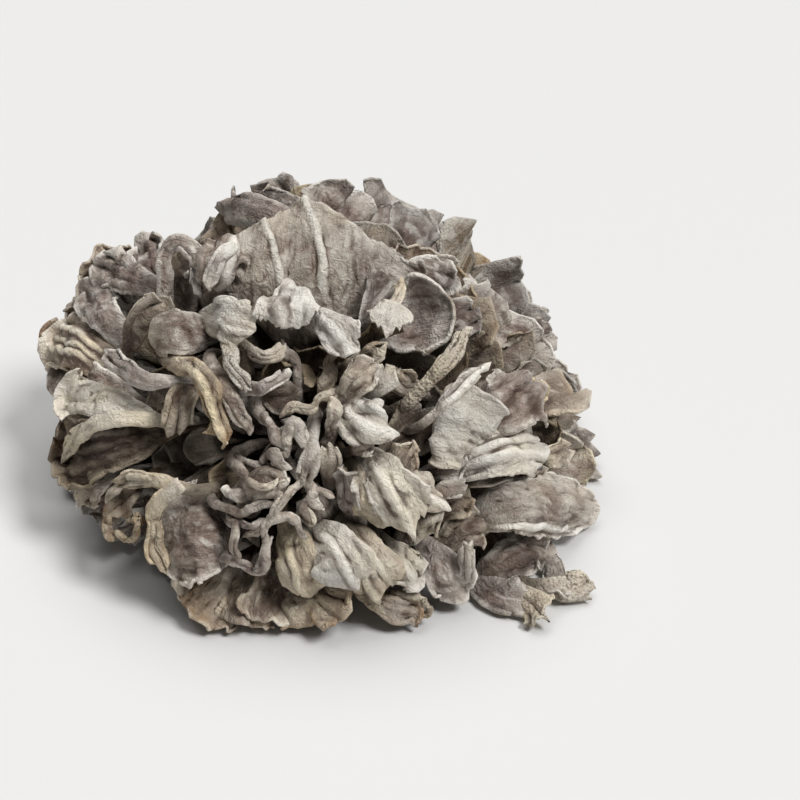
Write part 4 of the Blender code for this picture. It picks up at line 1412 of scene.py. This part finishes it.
HEART = (
    Frond("heart_cap", ((288, 286, -2), (287, 303, 6), (286, 326, 4)), 18, 64, 0.25, 0.9, 0.4,
        wrap=(-40, -30), ruffle=(0.9, 2), curl=(0.9, -40), side_curl=0, lobes=(2, 3),
        pleats=((0.2, 0.15, 1.3, 0.8),), crumple=0.65, tone=WHITE, cell=0.5, point=0),
    Frond("heart_left", ((208, 318, -3), (230, 320, 4), (255, 330, 3)), 12, 72, 0.6, 0.5, 0.3,
        wrap=(-30, -30), ruffle=(0.6, 2.5), curl=(0.88, -40), side_curl=-20, lobes=(1, 3),
        pleats=((0.3, 0.3, 1.4, 0.6),), crumple=0.35, tone=WHITE, porous=0.3, cell=0.6),
    Frond("heart_right", ((316, 314, -3), (334, 330, 5), (356, 352, 3)), 11.5, 60, 0.35, 0.8, 0.4,
        wrap=(-50, -40), ruffle=(0.9, 2.5), lobes=(1.4, 4), pleats=((0, 0.1, 1.6, 0.7),), crumple=0.7,
        tone=WHITE),
    Frond("c_curl", ((356, 362, -2), (376, 352, 3), (378, 334, 1)), 6, 50, 0.7, wrap=(-100, -100),
        curl=(0.6, 160), tone=PALE_TAUPE),
    Frond("heart_leaf", ((338, 404, -4), (356, 382, 3), (376, 362, 1)), 9, 56, 0.5, wrap=(-50, -50)),
    Frond("white_flap", ((366, 396, -4), (382, 382, 1), (390, 364, 1)), 7, 56, tone=WHITE),
    strip("spongy_c", ((228, 340, 0), (232, 370, 5), (250, 390, 4)), 4.6, 40, 0.8, 0.4, wrap=(-120, -120),
        tone=PALE_TAUPE, porous=1, knobby=2),
    strip("beige_lip", ((248, 389, 2), (268, 386, 5), (288, 370, 1)), 4.4, 40, 0.8, 0.4, wrap=(-110, -110),
        tone=LILAC, knobby=2),
    strip("inner_curl", ((246, 346, -3), (262, 358, 1), (286, 348, -1)), 3.7, 40, 0.8, 0.4,
        wrap=(-110, -110), crumple=0.8, rim_mm=1.1, root_mm=1.6, tone=PALE_TAUPE, kink=1.2, knobby=3),
    strip("lone_finger", ((212, 364, -2), (228, 395, 4), (254, 434, 1)), 5, 40, 0.7, 0.4, wrap=(-130, -130),
        crumple=0.8, knobby=2),
    worm("beige_finger", ((336, 396, -2), (310, 403, 2), (283, 416, 1)), 3.3, CREAM),
    Frond("dark_round", ((300, 388, -9), (276, 394, -5), (258, 402, -6)), 9, wrap=(-50, -50), tone=UMBER,
        depth=0.4),
    worm("fork_left", ((297, 384, -8), (292, 362, -5), (284, 344, -5)), 3.7, TAUPE),
    worm("fork_right", ((326, 402, -8), (328, 372, -4), (334, 346, -4)), 3.7, OLIVE),
    worm("inner_worm", ((260, 415, -1), (272, 436, 3), (286, 452, 0)), 3.7, TAUPE),
    worm("arch_worm", ((287, 448, 0), (297, 426, 4), (308, 446, 1)), 3.3, PALE_TAUPE),
    strip("column", ((312, 440, 1), (310, 458, 3), (304, 480, 0)), 6, 50, 0.6, 0.8, wrap=(-110, -90),
        tone=PALE_TAUPE),
    worm("stem", ((330, 440, -3), (330, 418, 2), (327, 396, 0)), 3.7, TAUPE),
    strip("knob", ((330, 478, -3), (329, 460, 2), (326, 446, 1)), 6, 50, 0.8, 0.4, wrap=(-120, -120),
        tone=PALE_TAUPE),
    worm("top_worm", ((249, 463, -1), (270, 456, 3), (293, 466, 0)), 3, TAUPE),
    Frond("crumple_worm", ((238, 494, -2), (262, 480, 2), (288, 490, 0)), 8, 60, 0.6, 0.5, wrap=(-80, -80),
        ruffle=(1.8, 3), crumple=1.6),
    worm("nub", ((244, 502, -2), (232, 494, 2), (220, 488, 1)), 3.7, TAUPE),
    worm("cross_worm", ((220, 504, 0), (242, 515, 3), (262, 508, 2), (286, 494, 0)), 2.5, TAUPE),
    worm("small_worm", ((244, 476, 1), (258, 485, 4), (274, 478, 2)), 2.6, TAUPE),
    worm("tight_worm", ((262, 496, 2), (275, 487, 4), (290, 478, 2)), 2.6, TAUPE),
    worm("inner_nub", ((238, 522, 0), (250, 527, 3), (262, 520, 1)), 2.6, TAUPE),
    worm("finger_one", ((300, 478, 0), (308, 494, 4), (320, 510, 3)), 2.4, PALE_TAUPE),
    worm("finger_two", ((306, 486, 0), (306, 504, 3), (310, 524, 1)), 2.4, TAUPE),
    worm("finger_three", ((312, 480, 0), (322, 492, 3), (332, 500, 2)), 2.4, TAUPE),
    worm("long_worm", ((300, 484, 0), (284, 507, 4), (264, 530, 3), (247, 539, 1)), 3, PALE_TAUPE),
    worm("upright_worm", ((231, 514, -1), (232, 534, 3), (239, 556, 1)), 3.3, TAUPE),
    worm("low_worm", ((223, 557, 0), (240, 563, 3), (256, 572, 2), (266, 556, 3), (276, 536, 1)), 3, TAUPE),
    worm("loop_worm", ((262, 558, -1), (272, 532, 4), (287, 518, 5), (298, 528, 4), (301, 541, 1)), 3,
        PALE_TAUPE),
    Frond("palm", ((330, 524, -8), (316, 506, -3), (308, 490, -3)), 10, 66, 0.6, 0.5, wrap=(-50, -50),
        lobes=(3, 5), depth=0.3),
    # shade_heart sits deep and is darkened with painted shade by its depth
    Frond("shade_heart", ((350, 540, -14), (346, 510, -9), (348, 484, -9)), 16, 70, wrap=(40, 40),
        tone=UMBER, depth=0.6),
)


@dataclass(frozen=True)
class Thicket:
    """Fronds that aren't picked out one by one, spread in an even spiral over the dome.

    Args:
        places: how many places the spiral has over the whole dome.
        nearest, farthest: degrees from the way to the eye between which they grow.
        widths, lengths: ranges in mm.
        shell: range of the share of the dome's radius their tips reach.
        outward, away: how much they point out of the dome, and away from the eye.
        tones: colourings to draw from.
        depth: how deep in the cluster they sit, 0 to 1, which darkens them with painted shade.
        seed: picks the variation.
        turned: the share that shows its underside.
        cell: size of the mesh's cells in mm.
    """

    places: int
    nearest: float
    farthest: float
    widths: Pair
    lengths: Pair
    shell: Pair
    outward: float
    away: float
    tones: tuple[Tone, ...]
    depth: float = 0.0
    seed: int = 0
    turned: float = 0.15
    cell: float = 1.4

    def fronds(self, label: str) -> list[Frond]:
        """Draws the fronds.

        Args:
            label: start of their names.

        Returns:
            The fronds.
        """
        chance = np.random.default_rng(self.seed)
        made = []
        for k in range(self.places):
            height = (k + 0.5) / self.places
            turn = k * math.radians(GOLDEN_TURN) + 0.4 * self.seed
            level = math.sqrt(1 - height * height)
            place = np.array([level * math.sin(turn), -level * math.cos(turn), height])
            angle = math.degrees(math.acos(np.clip(place @ VIEW.towards, -1, 1)))
            if not self.nearest <= angle <= self.farthest:
                continue
            normal = unit(place / DOME_RADII)
            away = unit(normal * (normal @ VIEW.towards) - VIEW.towards)
            side = np.cross(normal, away)
            forward = self.outward * normal + self.away * away + chance.uniform(-0.35, 0.35) * side
            forward[2] = max(forward[2], 0.12 - 0.5 * height)
            forward = unit(forward)
            length = chance.uniform(*self.lengths)
            tip = DOME_RADII * place * chance.uniform(*self.shell)
            heel = tip - forward * length
            bow = normal * chance.uniform(0.5, 2.5)
            facing = normal - 0.9 * away + chance.uniform(-0.7, 0.7) * side
            wrap = chance.uniform(-90, 60)
            if chance.uniform() < self.turned:
                facing = -facing
            made.append(
                Frond(
                    f"{label}_{k}",
                    tuple(map(tuple, (heel, (heel + tip) / 2 + bow, tip))),
                    chance.uniform(*self.widths),
                    spread=chance.uniform(66, 84),
                    fill=chance.uniform(0.55, 0.8),
                    wrap=(wrap * 0.6, wrap),
                    roll=(chance.uniform(-25, 25), chance.uniform(-55, 55)),
                    ruffle=(chance.uniform(1.4, 3.2), chance.uniform(2, 4)),
                    curl=(chance.uniform(0.76, 0.9), chance.choice((-1, 1)) * chance.uniform(30, 100)),
                    side_curl=chance.uniform(-40, 50),
                    lobes=(chance.uniform(0.4, 1.6), 3.5),
                    point=chance.uniform(0, 0.25),
                    crumple=chance.uniform(0.45, 1.05),
                    tone=self.tones[chance.integers(len(self.tones))],
                    facing=tuple(facing),
                    depth=self.depth,
                    world=True,
                    cell=self.cell,
                    seed=100 * self.seed + k,
                )
            )
        return made


@dataclass(frozen=True)
class Foot:
    """A ring of fronds just over the floor, caps up, round the cut base.

    Args:
        count: how many.
        radius: from the middle to their heels, mm.
        height: of their heels over the floor, mm.
        widths, lengths: ranges in mm.
        tones: colourings to draw from.
        seed: picks the variation.
    """

    count: int = 17
    radius: float = 43.0
    height: float = 12.0
    widths: Pair = (20, 29)
    lengths: Pair = (20, 28)
    tones: tuple[Tone, ...] = (TAUPE, OLIVE, PLUM, PALE_TAUPE)
    seed: int = 11

    def fronds(self) -> list[Frond]:
        """Draws the fronds.

        Returns:
            The fronds.
        """
        chance = np.random.default_rng(self.seed)
        made = []
        for k in range(self.count):
            turn = 2 * math.pi * (k + chance.uniform(-0.2, 0.2)) / self.count
            outward = np.array([math.sin(turn), -math.cos(turn), 0.0])
            heel = outward * self.radius + self.height * UP
            tip = heel + outward * chance.uniform(*self.lengths) + chance.uniform(-8, -1) * UP
            made.append(
                Frond(
                    f"foot_{k}",
                    tuple(map(tuple, (heel, (heel + tip) / 2 + 2 * UP, tip))),
                    chance.uniform(*self.widths),
                    spread=76,
                    wrap=(-20, chance.uniform(-40, 20)),
                    ruffle=(chance.uniform(0.8, 2.0), 3.0),
                    curl=(0.84, chance.uniform(-90, 90)),
                    tone=self.tones[chance.integers(len(self.tones))],
                    facing=tuple(UP + 0.3 * outward),
                    world=True,
                    cell=1.5,
                    seed=900 + k,
                )
            )
        return made


BACK = Thicket(
    118, 60, 180, widths=(17, 31), lengths=(18, 26), shell=(0.92, 1.0), outward=0.62, away=0.55,
    tones=(TAUPE, TAUPE, FAWN, PLUM, OLIVE, UMBER, LILAC), seed=3,
)
# FILL and BACK_FILL fronds lie under the others and are darkened with painted shade by their depth
FILL = Thicket(
    190, 0, 100, widths=(10, 20), lengths=(15, 22), shell=(0.82, 0.94), outward=0.8, away=0.5,
    tones=(TAUPE, OLIVE, UMBER, PLUM), depth=0.35, seed=5, cell=2.3,
)
BACK_FILL = Thicket(
    150, 96, 180, widths=(13, 22), lengths=(15, 22), shell=(0.76, 0.88), outward=0.6, away=0.5,
    tones=(TAUPE, UMBER, PLUM), depth=0.35, seed=6, cell=2.5,
)


def gather(fronds: Sequence[Frond]) -> Patch:
    """Computes the sheets of several fronds. One without a seed gets one from its name.

    Args:
        fronds: what to make.

    Returns:
        Their sheets.
    """
    sheets = []
    for frond in fronds:
        spelled = sum((place + 3) * ord(letter) for place, letter in enumerate(frond.name))
        seeded = frond if frond.seed else replace(frond, seed=1 + spelled % 997)
        sheets.append(Sheet(seeded))
    return Patch(sheets)


@dataclass(frozen=True)
class Head:
    """The dense head on its cut base, with a flat cut face that rests on the floor.

    Its outline runs from the cut's edge outwards, then over a dome. Along it t goes from 0
    to 1: it flares by FLARE_END, and from DOME_START the dome's angle grows from LOWEST to
    90 degrees. It is cut flat below CUT_END.

    Args:
        rings, segments: rows up and columns round of its mesh.
        base_radius: of the flat cut face, mm.
        share: of the cluster's dome that its own dome takes up, across.
        waist: height of the middle of its dome, mm.
        rise: from there to its top, mm.
    """

    FLARE_START, FLARE_END = 0.02, 0.20
    DOME_START = 0.12
    LOWEST = -14.0
    CUT_END = 0.02

    rings: int = 50
    segments: int = 100
    base_radius: float = 27.0
    share: float = 0.60
    waist: float = 14.0
    rise: float = 42.0

    def surface(self) -> np.ndarray:
        """Its lumpy outside.

        Returns:
            Array of rings x segments x 3, in mm.
        """
        t = np.linspace(0, 1, self.rings)[:, None]
        turn = np.linspace(0, 2 * math.pi, self.segments, endpoint=False)[None, :]
        up_dome = np.clip((t - self.DOME_START) / (1 - self.DOME_START), 0, 1)
        angle = np.radians(self.LOWEST + (90 - self.LOWEST) * up_dome)
        flare = ease((t - self.FLARE_START) / (self.FLARE_END - self.FLARE_START))
        wide = (1 - flare) * self.base_radius / DOME_RADII[0] + flare * self.share * np.cos(angle)
        x = DOME_RADII[0] * wide * np.cos(turn)
        y = DOME_RADII[1] * wide * np.sin(turn)
        z = flare * (self.waist + self.rise * np.sin(angle)) + 0 * turn
        z = np.maximum(z, 0) + t * 0.01
        points = np.stack([x, y, z], axis=-1)
        lump = 3.0 * NOISE.at(points, 16.0) + 1.6 * NOISE.at(points + 50, 7.0) + 0.7 * NOISE.at(points, 3.0)
        outward = unit(points - [0, 0, self.waist])
        points = points + outward * (lump * ease((t - 0.03) * 8))[..., None]
        points[..., 2] = np.where(t < self.CUT_END, 0.0, np.maximum(points[..., 2], 0.05))
        return points

    def build(self, material: bpy.types.Material) -> bpy.types.Object:
        """Makes the head's piece, closed by a fan below and one on top.

        Args:
            material: what it is made of.

        Returns:
            The object.
        """
        points = self.surface()
        index = np.arange(self.rings * self.segments).reshape(self.rings, self.segments)
        beside = np.roll(index, -1, axis=1)
        quads = np.stack([index[:-1], beside[:-1], beside[1:], index[1:]], axis=-1).reshape(-1, 4)
        ends = [[0, 0, 0], [0, 0, points[-1, :, 2].mean()]]
        vertices = np.concatenate([points.reshape(-1, 3), ends])
        bottom, top = len(vertices) - 2, len(vertices) - 1
        fans = [(bottom, beside[0, k], index[0, k]) for k in range(self.segments)]
        fans += [(top, index[-1, k], beside[-1, k]) for k in range(self.segments)]
        # the head's depth of 0.75 paints it dark with shade
        even = {"marks": (0, 0, 1, 0.5), "tints": (0.3, 0.2, 0.1, 0.75), "casts": (0.5, 0.5, 0, 0)}
        layers = {layer: np.tile(value, (len(vertices), 1)) for layer, value in even.items()}
        return add_piece("head", vertices, quads.tolist() + fans, layers, vertices[:, [0, 2]] * MM, material)


@dataclass(frozen=True)
class Studio:
    """A pale floor, soft light from above and the picture's view.

    Args:
        key: strength of the light from the upper right, in W per square metre.
        key_from: the way to it.
        key_width: how wide it looks, in degrees.
        overhead, overhead_from, overhead_width: the same for the light from above.
        ambient: strength of the even light all round.
        floor: the floor's colour.
        floor_reach: from the middle of the floor to its sides, in metres.
        backdrop: what shows beyond the floor.
        sensor: the camera's sensor width in mm.
    """

    key: float = 2.3
    key_from: Place = (0.50, -0.25, 0.85)
    key_width: float = 20.0
    overhead: float = 1.6
    overhead_from: Place = (-0.05, 0.30, 0.95)
    overhead_width: float = 55.0
    ambient: float = 0.1
    floor: Colour = (0.72, 0.715, 0.705, 1.0)
    floor_reach: float = 40.0
    backdrop: Colour = (0.82, 0.815, 0.805, 1.0)
    sensor: float = 36.0

    def build(self) -> None:
        """Adds the floor, the lights, the world and the camera."""
        mesh = bpy.data.meshes.new("floor")
        signs = ((-1, -1), (1, -1), (1, 1), (-1, 1))
        corners = [(x * self.floor_reach, y * self.floor_reach, 0) for x, y in signs]
        mesh.from_pydata(corners, [], [(0, 1, 2, 3)])
        floor = bpy.data.objects.new("floor", mesh)
        bpy.context.scene.collection.objects.link(floor)
        paint = bpy.data.materials.new("pale_floor")
        paint.use_nodes = True
        shader = paint.node_tree.nodes["Principled BSDF"]
        shader.inputs["Base Color"].default_value = self.floor
        shader.inputs["Roughness"].default_value = 0.7
        mesh.materials.append(paint)
        self.lamp("key", self.key, self.key_width, self.key_from)
        self.lamp("overhead", self.overhead, self.overhead_width, self.overhead_from)
        world = bpy.data.worlds.new("studio")
        world.use_nodes = True
        ambient = world.node_tree.nodes["Background"]
        ambient.inputs["Color"].default_value = (1, 1, 1, 1)
        ambient.inputs["Strength"].default_value = self.ambient
        ink = Ink(world.node_tree)
        beyond = ink.node("ShaderNodeBackground", {"Color": self.backdrop})
        seen = ink.node("ShaderNodeLightPath").outputs["Is Camera Ray"]
        shown = ink.node("ShaderNodeMixShader", {0: seen, 1: ambient.outputs[0], 2: beyond.outputs[0]})
        ink.tree.links.new(shown.outputs[0], world.node_tree.nodes["World Output"].inputs["Surface"])
        bpy.context.scene.world = world
        bpy.context.scene.view_settings.view_transform = "Standard"
        self.camera()
        log.info("floor, lights and camera are in place")

    def lamp(self, name: str, strength: float, spread: float, towards: Place) -> None:
        """Adds a far soft light.

        Args:
            name: the light's name.
            strength: in W per square metre.
            spread: how wide it looks from the cluster, in degrees.
            towards: the way from the cluster to the light.
        """
        light = bpy.data.lights.new(name, "SUN")
        light.energy = strength
        light.angle = math.radians(spread)
        made = bpy.data.objects.new(name, light)
        made.matrix_world = aim(np.array(towards), np.zeros(3))
        bpy.context.scene.collection.objects.link(made)

    def camera(self) -> None:
        """Adds the camera at the picture's view."""
        lens = bpy.data.cameras.new("picture_view")
        lens.sensor_width = self.sensor
        lens.lens = VIEW.focal / (2 * VIEW.centre) * self.sensor
        lens.clip_start = 0.01
        made = bpy.data.objects.new("picture_view", lens)
        eye = VIEW.eye * MM
        made.matrix_world = aim(eye, eye - VIEW.towards)
        bpy.context.scene.collection.objects.link(made)
        bpy.context.scene.camera = made


def aim(place: np.ndarray, target: np.ndarray) -> Matrix:
    """A matrix that puts a thing at a place, its -Z towards the target and its Y upwards.

    Args:
        place: where it stands.
        target: what it looks at.

    Returns:
        The matrix.
    """
    back = unit(place - target)
    right = unit(np.cross(UP, back))
    made = np.eye(4)
    made[:3, :3] = np.stack([right, np.cross(back, right), back], axis=1)
    made[:3, 3] = place
    return Matrix(made.tolist())


def main() -> None:
    logging.basicConfig(level=logging.INFO, format="%(name)s: %(message)s")
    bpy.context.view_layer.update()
    flesh = DriedFlesh().material("dried_flesh")
    rear = BACK.fronds("back")
    half = len(rear) // 2
    patches = {
        "crown_upper": gather(UPPER),
        "crown_right": gather(RIGHT),
        "crown_lower_right": gather(LOWER_RIGHT),
        "crown_lower": gather(LOWER),
        "crown_lower_left": gather(LOWER_LEFT),
        "crown_left": gather(LEFT),
        "heart": gather(HEART),
        "crown_fill": gather(FILL.fronds("fill")),
        "back_fill": gather(BACK_FILL.fronds("back_fill")),
        "back_upper": gather(rear[half:]),
        "back_lower": gather(rear[:half]),
        "foot": gather(Foot().fronds()),
    }
    shelter = Shelter(list(patches.values()))
    pieces = [Head().build(flesh)]
    for name, patch in patches.items():
        shelter.shade(patch)
        pieces.append(patch.to_object(name, flesh))
    for piece in pieces:
        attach(piece, "root")
        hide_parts("maitake_cluster")
    Studio().build()


if __name__ == "__main__":
    main()
